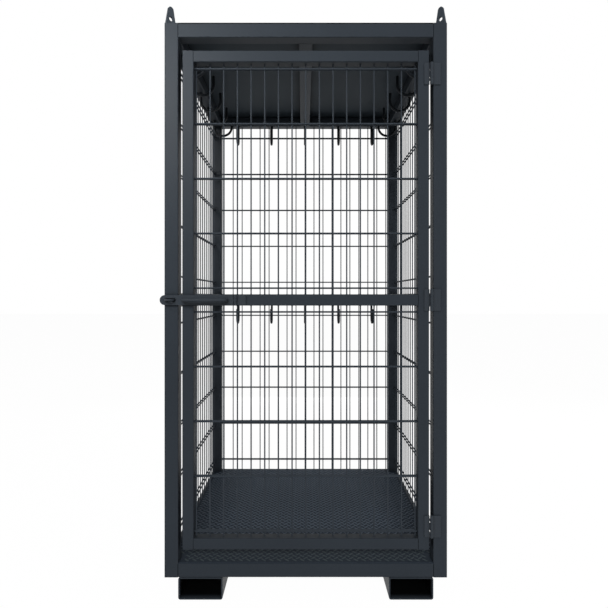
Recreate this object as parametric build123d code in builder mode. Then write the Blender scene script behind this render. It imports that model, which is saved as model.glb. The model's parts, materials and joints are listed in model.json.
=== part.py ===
"""Steel storage cage for lifting tackle: a tube frame with mesh walls, a hinged mesh door, a sheet roof,
a plate floor, fork pockets below, four lifting lugs on top and rows of hooks inside.
Millimetres. X to the right, Y away from the door, Z up, origin on the ground under the middle."""

import os
from build123d import *

os.makedirs("parts", exist_ok=True)

# Overall
WIDTH = 1020.0
DEPTH = 1020.0
FRAME_HEIGHT = 2000.0
POCKET_HEIGHT = 80.0

# Frame tube
TUBE = 50.0
TUBE_WALL = 3.0
TUBE_ROUND = 3.5

# Roof, floor and fork pockets
ROOF_SHEET = 2.0
FLOOR_PLATE = 5.0
FLOOR_DROP = 25.0
SILL_TREAD = 3.0
SILL_TREAD_INSET = 1.0
BEARER_WIDTH = 50.0
BEARER_WALL = 3.0
BEARER_PITCH = 230.0
POCKET_WIDTH = 160.0
POCKET_WALL = 5.0
POCKET_ROUND = 8.0
POCKET_INSET = 50.0

# Mesh: round rods and wires drawn as square bars of about the same section
WIRE = 5.0
ROD = 6.0
MESH_PITCH = 50.0
ROD_PITCH = 200.0
MESH_INSET = 12.0
WIRE_CLEAR = 2.5
ROD_CLEAR = 4.0
WALL_ROD_OFFSET = 92.0
DOOR_ROD_OFFSET = 43.5

# Door
DOOR_GAP_SIDE = 15.0
DOOR_GAP_END = 50.0
DOOR_TUBE = 40.0
DOOR_WALL = 2.5
DOOR_ROUND = 3.0
DOOR_MESH_INSET = 11.5

# Hinges
HINGE_HEIGHT = 78.0
HINGE_LEAF = 3.0
HINGE_BARREL_R = 6.0
HINGE_PIN_R = 3.0
HINGE_PLAY = 0.1
HINGE_GAP = 1.0
HINGE_POST_REACH = 33.0
HINGE_DOOR_REACH = 25.0
HINGE_END_GAP = 85.0

# Hasp: a slotted plate that swings over a staple on the post, with a bow handle
HASP_HEIGHT = 36.0
HASP_THICK = 5.0
HASP_PIVOT_IN = 192.0
HASP_OVERHANG = 14.0
HASP_OFFSET = 5.0
HASP_BARREL_R = 6.5
HASP_PIN_R = 3.0
SLOT_LENGTH = 48.0
SLOT_HEIGHT = 13.0
SLOT_IN = 20.0
STAPLE_BAR_R = 4.0
STAPLE_HALF = 14.0
STAPLE_LEG = 20.0
STAPLE_SHIFT = 3.0
HANDLE_R = 6.0
HANDLE_LENGTH = 152.0
HANDLE_FROM_PIVOT = 31.0
HANDLE_STAND = 28.0
HANDLE_BEND = 14.0

# Lifting lugs
LUG_WIDTH = 42.0
LUG_TOP_R = 11.0
LUG_HEIGHT = 67.0
LUG_THICK = 8.0
LUG_HOLE_R = 7.5
LUG_HOLE_UP = 22.0
LUG_INSET = 18.0

# Hooks
HOOK_BAR_R = 5.0
BAR_SIDES = 6
HOOK_END_GAP = 94.0
HOOKS_PER_ROW = 5
SIDE_HOOK_R = 45.0
SIDE_HOOK_DROP = 82.0
SIDE_HOOK_IN = 30.0
REAR_HOOK_R = 30.0
REAR_HOOK_DROP = 105.0
REAR_HOOK_TIP = 75.0
REAR_HOOK_IN = 10.0

# Worked out from the above
X_OUT = WIDTH / 2
Y_OUT = DEPTH / 2
X_IN = X_OUT - TUBE
Y_IN = Y_OUT - TUBE
Z_BASE = POCKET_HEIGHT
Z_TOP = POCKET_HEIGHT + FRAME_HEIGHT
Z_MID = (Z_BASE + Z_TOP) / 2
RAIL_LOW_Z = Z_BASE + TUBE / 2
RAIL_TOP_Z = Z_TOP - ROOF_SHEET - TUBE / 2
RAIL_UNDER_Z = RAIL_TOP_Z - TUBE / 2
FLOOR_TOP_Z = Z_BASE + TUBE - FLOOR_DROP
BEARER_HEIGHT = FLOOR_TOP_Z - FLOOR_PLATE - Z_BASE
POCKET_X = X_OUT - POCKET_INSET - POCKET_WIDTH / 2
X_MID_TUBE = X_OUT - TUBE / 2
Y_MID_TUBE = Y_OUT - TUBE / 2
SPAN_X = 2 * X_IN
SPAN_Y = 2 * Y_IN
X_MESH = X_OUT - MESH_INSET
Y_MESH = Y_OUT - MESH_INSET
LAYER = (WIRE + ROD) / 2
PANEL_LOW_Z = Z_BASE + TUBE
PANEL_MID_UNDER_Z = Z_MID - TUBE / 2
PANEL_MID_TOP_Z = Z_MID + TUBE / 2
DOOR_HALF = X_IN - DOOR_GAP_SIDE
DOOR_LOW_Z = Z_BASE + TUBE + DOOR_GAP_END
DOOR_HIGH_Z = Z_TOP - TUBE - DOOR_GAP_END
DOOR_HEIGHT = DOOR_HIGH_Z - DOOR_LOW_Z
DOOR_MID_Z = (DOOR_LOW_Z + DOOR_HIGH_Z) / 2
DOOR_FACE_Y = -Y_OUT
DOOR_MID_Y = DOOR_FACE_Y + DOOR_TUBE / 2
DOOR_IN = DOOR_HALF - DOOR_TUBE
DOOR_MESH_Y = DOOR_FACE_Y + DOOR_TUBE - DOOR_MESH_INSET
DOOR_PANEL_HEIGHT = (DOOR_HEIGHT - 3 * DOOR_TUBE) / 2
HINGE_X = (DOOR_HALF + X_IN) / 2
HINGE_Y = DOOR_FACE_Y - HINGE_BARREL_R
KNUCKLE = HINGE_HEIGHT / 3
HASP_Y = DOOR_FACE_Y - HASP_OFFSET - HASP_THICK / 2
HASP_FRONT_Y = HASP_Y - HASP_THICK / 2
HASP_KNUCKLE = HASP_HEIGHT / 3
HASP_PIVOT_X = HASP_PIVOT_IN - DOOR_HALF
HASP_END_X = -X_OUT - HASP_OVERHANG
SLOT_CENTRE_X = SLOT_IN - X_OUT
HANDLE_RIGHT_X = HASP_PIVOT_X - HANDLE_FROM_PIVOT
HANDLE_LEFT_X = HANDLE_RIGHT_X - HANDLE_LENGTH


def steps_in(room, pitch):
    """Counts the whole steps of a pitch that fit into a length."""
    return int(room / pitch)


# As many wires and rods as fit between the tubes: odd counts have one in the middle
REAR_WIRES = 2 * steps_in(X_IN - WIRE_CLEAR, MESH_PITCH) + 1
SIDE_WIRES = 2 * steps_in(Y_IN - WIRE_CLEAR + MESH_PITCH / 2, MESH_PITCH)
DOOR_WIRES = 2 * steps_in(DOOR_IN - WIRE_CLEAR, MESH_PITCH) + 1
WALL_ROOM = RAIL_UNDER_Z - Z_MID - ROD_CLEAR - WALL_ROD_OFFSET
DOOR_ROOM = DOOR_TUBE / 2 + DOOR_PANEL_HEIGHT - ROD_CLEAR - DOOR_ROD_OFFSET
WALL_RODS_UP = [WALL_ROD_OFFSET + ROD_PITCH * i for i in range(steps_in(WALL_ROOM, ROD_PITCH) + 1)]
DOOR_RODS_UP = [DOOR_ROD_OFFSET + ROD_PITCH * i for i in range(steps_in(DOOR_ROOM, ROD_PITCH) + 1)]
REAR_HOOK_PITCH = (SPAN_X - 2 * HOOK_END_GAP) / (HOOKS_PER_ROW - 1)
SIDE_HOOK_PITCH = (SPAN_Y - 2 * HOOK_END_GAP) / (HOOKS_PER_ROW - 1)
REAR_HOOK_SPOTS = [REAR_HOOK_PITCH * (i - (HOOKS_PER_ROW - 1) / 2) for i in range(HOOKS_PER_ROW)]
SIDE_HOOK_SPOTS = [SIDE_HOOK_PITCH * (i - (HOOKS_PER_ROW - 1) / 2) for i in range(HOOKS_PER_ROW)]
HINGE_RISE = DOOR_HEIGHT / 2 - HINGE_END_GAP
HINGE_LEVELS = [DOOR_MID_Z - HINGE_RISE, DOOR_MID_Z, DOOR_MID_Z + HINGE_RISE]


def tube_section(width, height, wall, corner):
    """Draws a rounded hollow section in the sketch that is open."""
    RectangleRounded(width, height, corner)
    Rectangle(width - 2 * wall, height - 2 * wall, mode=Mode.SUBTRACT)


def bar_section(radius):
    """Draws a round bar's section with few sides in the sketch that is open."""
    RegularPolygon(radius, BAR_SIDES)


def frame_section():
    """Draws the section of the frame's square tube in the sketch that is open."""
    tube_section(TUBE, TUBE, TUBE_WALL, TUBE_ROUND)


def door_section():
    """Draws the section of the door's square tube in the sketch that is open."""
    tube_section(DOOR_TUBE, DOOR_TUBE, DOOR_WALL, DOOR_ROUND)


# Corner posts: square tubes with a welded cap on top
with BuildPart() as post_front_left:
    with BuildSketch(Plane.XY.offset(Z_BASE)):
        with Locations((-X_MID_TUBE, -Y_MID_TUBE)):
            frame_section()
    extrude(amount=FRAME_HEIGHT - TUBE_WALL)
    with BuildSketch(Plane.XY.offset(Z_TOP - TUBE_WALL)):
        with Locations((-X_MID_TUBE, -Y_MID_TUBE)):
            RectangleRounded(TUBE, TUBE, TUBE_ROUND)
    extrude(amount=TUBE_WALL)
post_front_left.part.label = "post_front_left"
export_step(post_front_left.part, "parts/post_front_left.step")

with BuildPart() as post_front_right:
    with BuildSketch(Plane.XY.offset(Z_BASE)):
        with Locations((X_MID_TUBE, -Y_MID_TUBE)):
            frame_section()
    extrude(amount=FRAME_HEIGHT - TUBE_WALL)
    with BuildSketch(Plane.XY.offset(Z_TOP - TUBE_WALL)):
        with Locations((X_MID_TUBE, -Y_MID_TUBE)):
            RectangleRounded(TUBE, TUBE, TUBE_ROUND)
    extrude(amount=TUBE_WALL)
post_front_right.part.label = "post_front_right"
export_step(post_front_right.part, "parts/post_front_right.step")

with BuildPart() as post_rear_left:
    with BuildSketch(Plane.XY.offset(Z_BASE)):
        with Locations((-X_MID_TUBE, Y_MID_TUBE)):
            frame_section()
    extrude(amount=FRAME_HEIGHT - TUBE_WALL)
    with BuildSketch(Plane.XY.offset(Z_TOP - TUBE_WALL)):
        with Locations((-X_MID_TUBE, Y_MID_TUBE)):
            RectangleRounded(TUBE, TUBE, TUBE_ROUND)
    extrude(amount=TUBE_WALL)
post_rear_left.part.label = "post_rear_left"
export_step(post_rear_left.part, "parts/post_rear_left.step")

with BuildPart() as post_rear_right:
    with BuildSketch(Plane.XY.offset(Z_BASE)):
        with Locations((X_MID_TUBE, Y_MID_TUBE)):
            frame_section()
    extrude(amount=FRAME_HEIGHT - TUBE_WALL)
    with BuildSketch(Plane.XY.offset(Z_TOP - TUBE_WALL)):
        with Locations((X_MID_TUBE, Y_MID_TUBE)):
            RectangleRounded(TUBE, TUBE, TUBE_ROUND)
    extrude(amount=TUBE_WALL)
post_rear_right.part.label = "post_rear_right"
export_step(post_rear_right.part, "parts/post_rear_right.step")

# Rails between the posts: top, bottom and, on three sides, at mid height
with BuildPart() as top_rail_front:
    with BuildSketch(Plane.YZ.offset(-X_IN)):
        with Locations((-Y_MID_TUBE, RAIL_TOP_Z)):
            frame_section()
    extrude(amount=SPAN_X)
top_rail_front.part.label = "top_rail_front"
export_step(top_rail_front.part, "parts/top_rail_front.step")

with BuildPart() as top_rail_rear:
    with BuildSketch(Plane.YZ.offset(-X_IN)):
        with Locations((Y_MID_TUBE, RAIL_TOP_Z)):
            frame_section()
    extrude(amount=SPAN_X)
top_rail_rear.part.label = "top_rail_rear"
export_step(top_rail_rear.part, "parts/top_rail_rear.step")

with BuildPart() as top_rail_left:
    with BuildSketch(Plane.XZ.offset(-Y_IN)):
        with Locations((-X_MID_TUBE, RAIL_TOP_Z)):
            frame_section()
    extrude(amount=SPAN_Y)
top_rail_left.part.label = "top_rail_left"
export_step(top_rail_left.part, "parts/top_rail_left.step")

with BuildPart() as top_rail_right:
    with BuildSketch(Plane.XZ.offset(-Y_IN)):
        with Locations((X_MID_TUBE, RAIL_TOP_Z)):
            frame_section()
    extrude(amount=SPAN_Y)
top_rail_right.part.label = "top_rail_right"
export_step(top_rail_right.part, "parts/top_rail_right.step")

with BuildPart() as door_sill:
    with BuildSketch(Plane.YZ.offset(-X_IN)):
        with Locations((-Y_MID_TUBE, RAIL_LOW_Z)):
            frame_section()
    extrude(amount=SPAN_X)
door_sill.part.label = "door_sill"
export_step(door_sill.part, "parts/door_sill.step")

with BuildPart() as bottom_rail_rear:
    with BuildSketch(Plane.YZ.offset(-X_IN)):
        with Locations((Y_MID_TUBE, RAIL_LOW_Z)):
            frame_section()
    extrude(amount=SPAN_X)
bottom_rail_rear.part.label = "bottom_rail_rear"
export_step(bottom_rail_rear.part, "parts/bottom_rail_rear.step")

with BuildPart() as bottom_rail_left:
    with BuildSketch(Plane.XZ.offset(-Y_IN)):
        with Locations((-X_MID_TUBE, RAIL_LOW_Z)):
            frame_section()
    extrude(amount=SPAN_Y)
bottom_rail_left.part.label = "bottom_rail_left"
export_step(bottom_rail_left.part, "parts/bottom_rail_left.step")

with BuildPart() as bottom_rail_right:
    with BuildSketch(Plane.XZ.offset(-Y_IN)):
        with Locations((X_MID_TUBE, RAIL_LOW_Z)):
            frame_section()
    extrude(amount=SPAN_Y)
bottom_rail_right.part.label = "bottom_rail_right"
export_step(bottom_rail_right.part, "parts/bottom_rail_right.step")

with BuildPart() as mid_rail_rear:
    with BuildSketch(Plane.YZ.offset(-X_IN)):
        with Locations((Y_MID_TUBE, Z_MID)):
            frame_section()
    extrude(amount=SPAN_X)
mid_rail_rear.part.label = "mid_rail_rear"
export_step(mid_rail_rear.part, "parts/mid_rail_rear.step")

with BuildPart() as mid_rail_left:
    with BuildSketch(Plane.XZ.offset(-Y_IN)):
        with Locations((-X_MID_TUBE, Z_MID)):
            frame_section()
    extrude(amount=SPAN_Y)
mid_rail_left.part.label = "mid_rail_left"
export_step(mid_rail_left.part, "parts/mid_rail_left.step")

with BuildPart() as mid_rail_right:
    with BuildSketch(Plane.XZ.offset(-Y_IN)):
        with Locations((X_MID_TUBE, Z_MID)):
            frame_section()
    extrude(amount=SPAN_Y)
mid_rail_right.part.label = "mid_rail_right"
export_step(mid_rail_right.part, "parts/mid_rail_right.step")

# Roof: a beam from front to rear and a sheet notched round the posts
with BuildPart() as roof_beam:
    with BuildSketch(Plane.XZ.offset(-Y_IN)):
        with Locations((0, RAIL_TOP_Z)):
            frame_section()
    extrude(amount=SPAN_Y)
roof_beam.part.label = "roof_beam"
export_step(roof_beam.part, "parts/roof_beam.step")

with BuildPart() as roof_sheet:
    with BuildSketch(Plane.XY.offset(Z_TOP - ROOF_SHEET)):
        Rectangle(WIDTH, DEPTH)
        with GridLocations(WIDTH - TUBE, DEPTH - TUBE, 2, 2):
            Rectangle(TUBE, TUBE, mode=Mode.SUBTRACT)
    extrude(amount=ROOF_SHEET)
roof_sheet.part.label = "roof_sheet"
export_step(roof_sheet.part, "parts/roof_sheet.step")

# Floor: a plate let in between the rails, on three flat bearers, and a strip of it on the sill
with BuildPart() as floor_plate:
    with BuildSketch(Plane.XY.offset(FLOOR_TOP_Z - FLOOR_PLATE)):
        Rectangle(SPAN_X, SPAN_Y)
    extrude(amount=FLOOR_PLATE)
    with BuildSketch(Plane.XY.offset(Z_BASE + TUBE)):
        with Locations((0, -Y_MID_TUBE)):
            Rectangle(SPAN_X, TUBE - 2 * SILL_TREAD_INSET)
    extrude(amount=SILL_TREAD)
floor_plate.part.label = "floor_plate"
export_step(floor_plate.part, "parts/floor_plate.step")

with BuildPart() as floor_bearers:
    with BuildSketch(Plane.YZ.offset(-X_IN)):
        with Locations((0, Z_BASE + BEARER_HEIGHT / 2)):
            with GridLocations(BEARER_PITCH, 1, 3, 1):
                Rectangle(BEARER_WIDTH, BEARER_HEIGHT)
                Rectangle(BEARER_WIDTH - 2 * BEARER_WALL, BEARER_HEIGHT - 2 * BEARER_WALL, mode=Mode.SUBTRACT)
    extrude(amount=SPAN_X)
floor_bearers.part.label = "floor_bearers"
export_step(floor_bearers.part, "parts/floor_bearers.step")

# Fork pockets: two box sections right through under the frame
with BuildPart() as fork_pocket_left:
    with BuildSketch(Plane.XZ.offset(-Y_OUT)):
        with Locations((-POCKET_X, POCKET_HEIGHT / 2)):
            tube_section(POCKET_WIDTH, POCKET_HEIGHT, POCKET_WALL, POCKET_ROUND)
    extrude(amount=DEPTH)
fork_pocket_left.part.label = "fork_pocket_left"
export_step(fork_pocket_left.part, "parts/fork_pocket_left.step")

with BuildPart() as fork_pocket_right:
    with BuildSketch(Plane.XZ.offset(-Y_OUT)):
        with Locations((POCKET_X, POCKET_HEIGHT / 2)):
            tube_section(POCKET_WIDTH, POCKET_HEIGHT, POCKET_WALL, POCKET_ROUND)
    extrude(amount=DEPTH)
fork_pocket_right.part.label = "fork_pocket_right"
export_step(fork_pocket_right.part, "parts/fork_pocket_right.step")

# Lifting lugs: tapered plates with an eye, standing on the post caps along the diagonals
LUG_SPOTS = [(-1, -1), (1, -1), (1, 1), (-1, 1)]
with BuildPart() as lifting_lugs:
    for side_x, side_y in LUG_SPOTS:
        lug_plane = Plane(
            origin=(side_x * (X_OUT - LUG_INSET), side_y * (Y_OUT - LUG_INSET), Z_TOP),
            x_dir=(side_x, side_y, 0),
            z_dir=(side_y, -side_x, 0),
        )
        with BuildSketch(lug_plane):
            with BuildLine():
                foot_left = (-LUG_WIDTH / 2, 0)
                foot_right = (LUG_WIDTH / 2, 0)
                crown = (0, LUG_HEIGHT)
                shoulder = LUG_HEIGHT - LUG_TOP_R
                Polyline((-LUG_TOP_R, shoulder), foot_left, foot_right, (LUG_TOP_R, shoulder))
                ThreePointArc((LUG_TOP_R, shoulder), crown, (-LUG_TOP_R, shoulder))
            make_face()
            with Locations((0, LUG_HOLE_UP)):
                Circle(LUG_HOLE_R, mode=Mode.SUBTRACT)
        extrude(amount=LUG_THICK / 2, both=True)
lifting_lugs.part.label = "lifting_lugs"
export_step(lifting_lugs.part, "parts/lifting_lugs.step")


def wall_rows(direction):
    """Lists the heights of the mesh rods above or below the mid rail, for direction 1 or -1."""
    return [Z_MID + direction * up for up in WALL_RODS_UP]


def door_rows(direction):
    """Lists the heights of the door's mesh rods above or below its mid rail."""
    return [DOOR_MID_Z + direction * up for up in DOOR_RODS_UP]


PANEL_LOW_HEIGHT = PANEL_MID_UNDER_Z - PANEL_LOW_Z
PANEL_HIGH_HEIGHT = RAIL_UNDER_Z - PANEL_MID_TOP_Z

# Wall mesh: upright wires with rods across their outer side
with BuildPart() as mesh_rear_lower:
    with BuildSketch(Plane.XY.offset(PANEL_LOW_Z)):
        with Locations((0, Y_MESH)):
            with GridLocations(MESH_PITCH, 1, REAR_WIRES, 1):
                Rectangle(WIRE, WIRE)
    extrude(amount=PANEL_LOW_HEIGHT)
    with BuildSketch(Plane.YZ.offset(-X_IN)):
        with Locations(*[(Y_MESH + LAYER, z) for z in wall_rows(-1)]):
            Rectangle(ROD, ROD)
    extrude(amount=SPAN_X)
mesh_rear_lower.part.label = "mesh_rear_lower"
export_step(mesh_rear_lower.part, "parts/mesh_rear_lower.step")

with BuildPart() as mesh_rear_upper:
    with BuildSketch(Plane.XY.offset(PANEL_MID_TOP_Z)):
        with Locations((0, Y_MESH)):
            with GridLocations(MESH_PITCH, 1, REAR_WIRES, 1):
                Rectangle(WIRE, WIRE)
    extrude(amount=PANEL_HIGH_HEIGHT)
    with BuildSketch(Plane.YZ.offset(-X_IN)):
        with Locations(*[(Y_MESH + LAYER, z) for z in wall_rows(1)]):
            Rectangle(ROD, ROD)
    extrude(amount=SPAN_X)
mesh_rear_upper.part.label = "mesh_rear_upper"
export_step(mesh_rear_upper.part, "parts/mesh_rear_upper.step")

with BuildPart() as mesh_left_lower:
    with BuildSketch(Plane.XY.offset(PANEL_LOW_Z)):
        with Locations((-X_MESH, 0)):
            with GridLocations(1, MESH_PITCH, 1, SIDE_WIRES):
                Rectangle(WIRE, WIRE)
    extrude(amount=PANEL_LOW_HEIGHT)
    with BuildSketch(Plane.XZ.offset(-Y_IN)):
        with Locations(*[(-X_MESH - LAYER, z) for z in wall_rows(-1)]):
            Rectangle(ROD, ROD)
    extrude(amount=SPAN_Y)
mesh_left_lower.part.label = "mesh_left_lower"
export_step(mesh_left_lower.part, "parts/mesh_left_lower.step")

with BuildPart() as mesh_left_upper:
    with BuildSketch(Plane.XY.offset(PANEL_MID_TOP_Z)):
        with Locations((-X_MESH, 0)):
            with GridLocations(1, MESH_PITCH, 1, SIDE_WIRES):
                Rectangle(WIRE, WIRE)
    extrude(amount=PANEL_HIGH_HEIGHT)
    with BuildSketch(Plane.XZ.offset(-Y_IN)):
        with Locations(*[(-X_MESH - LAYER, z) for z in wall_rows(1)]):
            Rectangle(ROD, ROD)
    extrude(amount=SPAN_Y)
mesh_left_upper.part.label = "mesh_left_upper"
export_step(mesh_left_upper.part, "parts/mesh_left_upper.step")

with BuildPart() as mesh_right_lower:
    with BuildSketch(Plane.XY.offset(PANEL_LOW_Z)):
        with Locations((X_MESH, 0)):
            with GridLocations(1, MESH_PITCH, 1, SIDE_WIRES):
                Rectangle(WIRE, WIRE)
    extrude(amount=PANEL_LOW_HEIGHT)
    with BuildSketch(Plane.XZ.offset(-Y_IN)):
        with Locations(*[(X_MESH + LAYER, z) for z in wall_rows(-1)]):
            Rectangle(ROD, ROD)
    extrude(amount=SPAN_Y)
mesh_right_lower.part.label = "mesh_right_lower"
export_step(mesh_right_lower.part, "parts/mesh_right_lower.step")

with BuildPart() as mesh_right_upper:
    with BuildSketch(Plane.XY.offset(PANEL_MID_TOP_Z)):
        with Locations((X_MESH, 0)):
            with GridLocations(1, MESH_PITCH, 1, SIDE_WIRES):
                Rectangle(WIRE, WIRE)
    extrude(amount=PANEL_HIGH_HEIGHT)
    with BuildSketch(Plane.XZ.offset(-Y_IN)):
        with Locations(*[(X_MESH + LAYER, z) for z in wall_rows(1)]):
            Rectangle(ROD, ROD)
    extrude(amount=SPAN_Y)
mesh_right_upper.part.label = "mesh_right_upper"
export_step(mesh_right_upper.part, "parts/mesh_right_upper.step")

# Door: two stiles, three rails and two mesh panels
with BuildPart() as door_stile_latch:
    with BuildSketch(Plane.XY.offset(DOOR_LOW_Z)):
        with Locations((-DOOR_HALF + DOOR_TUBE / 2, DOOR_MID_Y)):
            door_section()
    extrude(amount=DOOR_HEIGHT - DOOR_WALL)
    with BuildSketch(Plane.XY.offset(DOOR_HIGH_Z - DOOR_WALL)):
        with Locations((-DOOR_HALF + DOOR_TUBE / 2, DOOR_MID_Y)):
            RectangleRounded(DOOR_TUBE, DOOR_TUBE, DOOR_ROUND)
    extrude(amount=DOOR_WALL)
door_stile_latch.part.label = "door_stile_latch"
export_step(door_stile_latch.part, "parts/door_stile_latch.step")

with BuildPart() as door_stile_hinge:
    with BuildSketch(Plane.XY.offset(DOOR_LOW_Z)):
        with Locations((DOOR_HALF - DOOR_TUBE / 2, DOOR_MID_Y)):
            door_section()
    extrude(amount=DOOR_HEIGHT - DOOR_WALL)
    with BuildSketch(Plane.XY.offset(DOOR_HIGH_Z - DOOR_WALL)):
        with Locations((DOOR_HALF - DOOR_TUBE / 2, DOOR_MID_Y)):
            RectangleRounded(DOOR_TUBE, DOOR_TUBE, DOOR_ROUND)
    extrude(amount=DOOR_WALL)
door_stile_hinge.part.label = "door_stile_hinge"
export_step(door_stile_hinge.part, "parts/door_stile_hinge.step")

with BuildPart() as door_top_rail:
    with BuildSketch(Plane.YZ.offset(-DOOR_IN)):
        with Locations((DOOR_MID_Y, DOOR_HIGH_Z - DOOR_TUBE / 2)):
            door_section()
    extrude(amount=2 * DOOR_IN)
door_top_rail.part.label = "door_top_rail"
export_step(door_top_rail.part, "parts/door_top_rail.step")

with BuildPart() as door_mid_rail:
    with BuildSketch(Plane.YZ.offset(-DOOR_IN)):
        with Locations((DOOR_MID_Y, DOOR_MID_Z)):
            door_section()
    extrude(amount=2 * DOOR_IN)
door_mid_rail.part.label = "door_mid_rail"
export_step(door_mid_rail.part, "parts/door_mid_rail.step")

with BuildPart() as door_bottom_rail:
    with BuildSketch(Plane.YZ.offset(-DOOR_IN)):
        with Locations((DOOR_MID_Y, DOOR_LOW_Z + DOOR_TUBE / 2)):
            door_section()
    extrude(amount=2 * DOOR_IN)
door_bottom_rail.part.label = "door_bottom_rail"
export_step(door_bottom_rail.part, "parts/door_bottom_rail.step")

with BuildPart() as door_mesh_lower:
    with BuildSketch(Plane.XY.offset(DOOR_LOW_Z + DOOR_TUBE)):
        with Locations((0, DOOR_MESH_Y)):
            with GridLocations(MESH_PITCH, 1, DOOR_WIRES, 1):
                Rectangle(WIRE, WIRE)
    extrude(amount=DOOR_PANEL_HEIGHT)
    with BuildSketch(Plane.YZ.offset(-DOOR_IN)):
        with Locations(*[(DOOR_MESH_Y - LAYER, z) for z in door_rows(-1)]):
            Rectangle(ROD, ROD)
    extrude(amount=2 * DOOR_IN)
door_mesh_lower.part.label = "door_mesh_lower"
export_step(door_mesh_lower.part, "parts/door_mesh_lower.step")

with BuildPart() as door_mesh_upper:
    with BuildSketch(Plane.XY.offset(DOOR_MID_Z + DOOR_TUBE / 2)):
        with Locations((0, DOOR_MESH_Y)):
            with GridLocations(MESH_PITCH, 1, DOOR_WIRES, 1):
                Rectangle(WIRE, WIRE)
    extrude(amount=DOOR_PANEL_HEIGHT)
    with BuildSketch(Plane.YZ.offset(-DOOR_IN)):
        with Locations(*[(DOOR_MESH_Y - LAYER, z) for z in door_rows(1)]):
            Rectangle(ROD, ROD)
    extrude(amount=2 * DOOR_IN)
door_mesh_upper.part.label = "door_mesh_upper"
export_step(door_mesh_upper.part, "parts/door_mesh_upper.step")

# Hinges: three knuckles each, the outer two and the pin on the post, the middle one on the door
HINGE_OUTER = [level + side * KNUCKLE for level in HINGE_LEVELS for side in (-1, 1)]
with BuildPart() as hinge_post_leaves:
    for level in HINGE_LEVELS:
        with BuildSketch(Plane.XY.offset(level - HINGE_HEIGHT / 2)):
            with Locations((HINGE_X + HINGE_BARREL_R + HINGE_GAP, -Y_OUT - HINGE_LEAF / 2)):
                Rectangle(
                    HINGE_POST_REACH - HINGE_BARREL_R - HINGE_GAP,
                    HINGE_LEAF,
                    align=(Align.MIN, Align.CENTER),
                )
        extrude(amount=HINGE_HEIGHT)
        with BuildSketch(Plane.XY.offset(level - HINGE_HEIGHT / 2)):
            with Locations((HINGE_X, HINGE_Y)):
                Circle(HINGE_PIN_R)
        extrude(amount=HINGE_HEIGHT)
    for level in HINGE_OUTER:
        with BuildSketch(Plane.XY.offset(level - KNUCKLE / 2)):
            with Locations((HINGE_X, HINGE_Y)):
                Circle(HINGE_BARREL_R)
            with Locations((HINGE_X, -Y_OUT - HINGE_LEAF / 2)):
                Rectangle(
                    HINGE_BARREL_R + HINGE_GAP,
                    HINGE_LEAF,
                    align=(Align.MIN, Align.CENTER),
                )
        extrude(amount=KNUCKLE)
hinge_post_leaves.part.label = "hinge_post_leaves"
export_step(hinge_post_leaves.part, "parts/hinge_post_leaves.step")

with BuildPart() as hinge_door_leaves:
    for level in HINGE_LEVELS:
        with BuildSketch(Plane.XY.offset(level - HINGE_HEIGHT / 2)):
            with Locations((HINGE_X - HINGE_BARREL_R - HINGE_GAP, -Y_OUT - HINGE_LEAF / 2)):
                Rectangle(
                    HINGE_DOOR_REACH - HINGE_BARREL_R - HINGE_GAP,
                    HINGE_LEAF,
                    align=(Align.MAX, Align.CENTER),
                )
        extrude(amount=HINGE_HEIGHT)
        with BuildSketch(Plane.XY.offset(level - KNUCKLE / 2 + HINGE_GAP / 2)):
            with Locations((HINGE_X, HINGE_Y)):
                Circle(HINGE_BARREL_R)
            with Locations((HINGE_X, -Y_OUT - HINGE_LEAF / 2)):
                Rectangle(
                    HINGE_BARREL_R + HINGE_GAP,
                    HINGE_LEAF,
                    align=(Align.MAX, Align.CENTER),
                )
            with Locations((HINGE_X, HINGE_Y)):
                Circle(HINGE_PIN_R + HINGE_PLAY, mode=Mode.SUBTRACT)
        extrude(amount=KNUCKLE - HINGE_GAP)
hinge_door_leaves.part.label = "hinge_door_leaves"
export_step(hinge_door_leaves.part, "parts/hinge_door_leaves.step")

# Hasp: base with two knuckles and the pin on the door's mid rail
with BuildPart() as hasp_base:
    with BuildSketch(Plane.XY.offset(DOOR_MID_Z - HASP_HEIGHT / 2)):
        with Locations((HASP_PIVOT_X + HASP_BARREL_R + HINGE_GAP, DOOR_FACE_Y - HASP_THICK / 2)):
            Rectangle(HASP_HEIGHT - HASP_BARREL_R, HASP_THICK, align=(Align.MIN, Align.CENTER))
        with Locations((HASP_PIVOT_X, HASP_Y)):
            Circle(HASP_PIN_R)
    extrude(amount=HASP_HEIGHT)
    for side in (-1, 1):
        with BuildSketch(Plane.XY.offset(DOOR_MID_Z + side * HASP_KNUCKLE - HASP_KNUCKLE / 2)):
            with Locations((HASP_PIVOT_X, HASP_Y)):
                Circle(HASP_BARREL_R)
            with Locations((HASP_PIVOT_X, DOOR_FACE_Y - HASP_THICK + 1.0)):
                Rectangle(HASP_BARREL_R + HINGE_GAP, 2.0, align=(Align.MIN, Align.CENTER))
        extrude(amount=HASP_KNUCKLE)
hasp_base.part.label = "hasp_base"
export_step(hasp_base.part, "parts/hasp_base.step")

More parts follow.
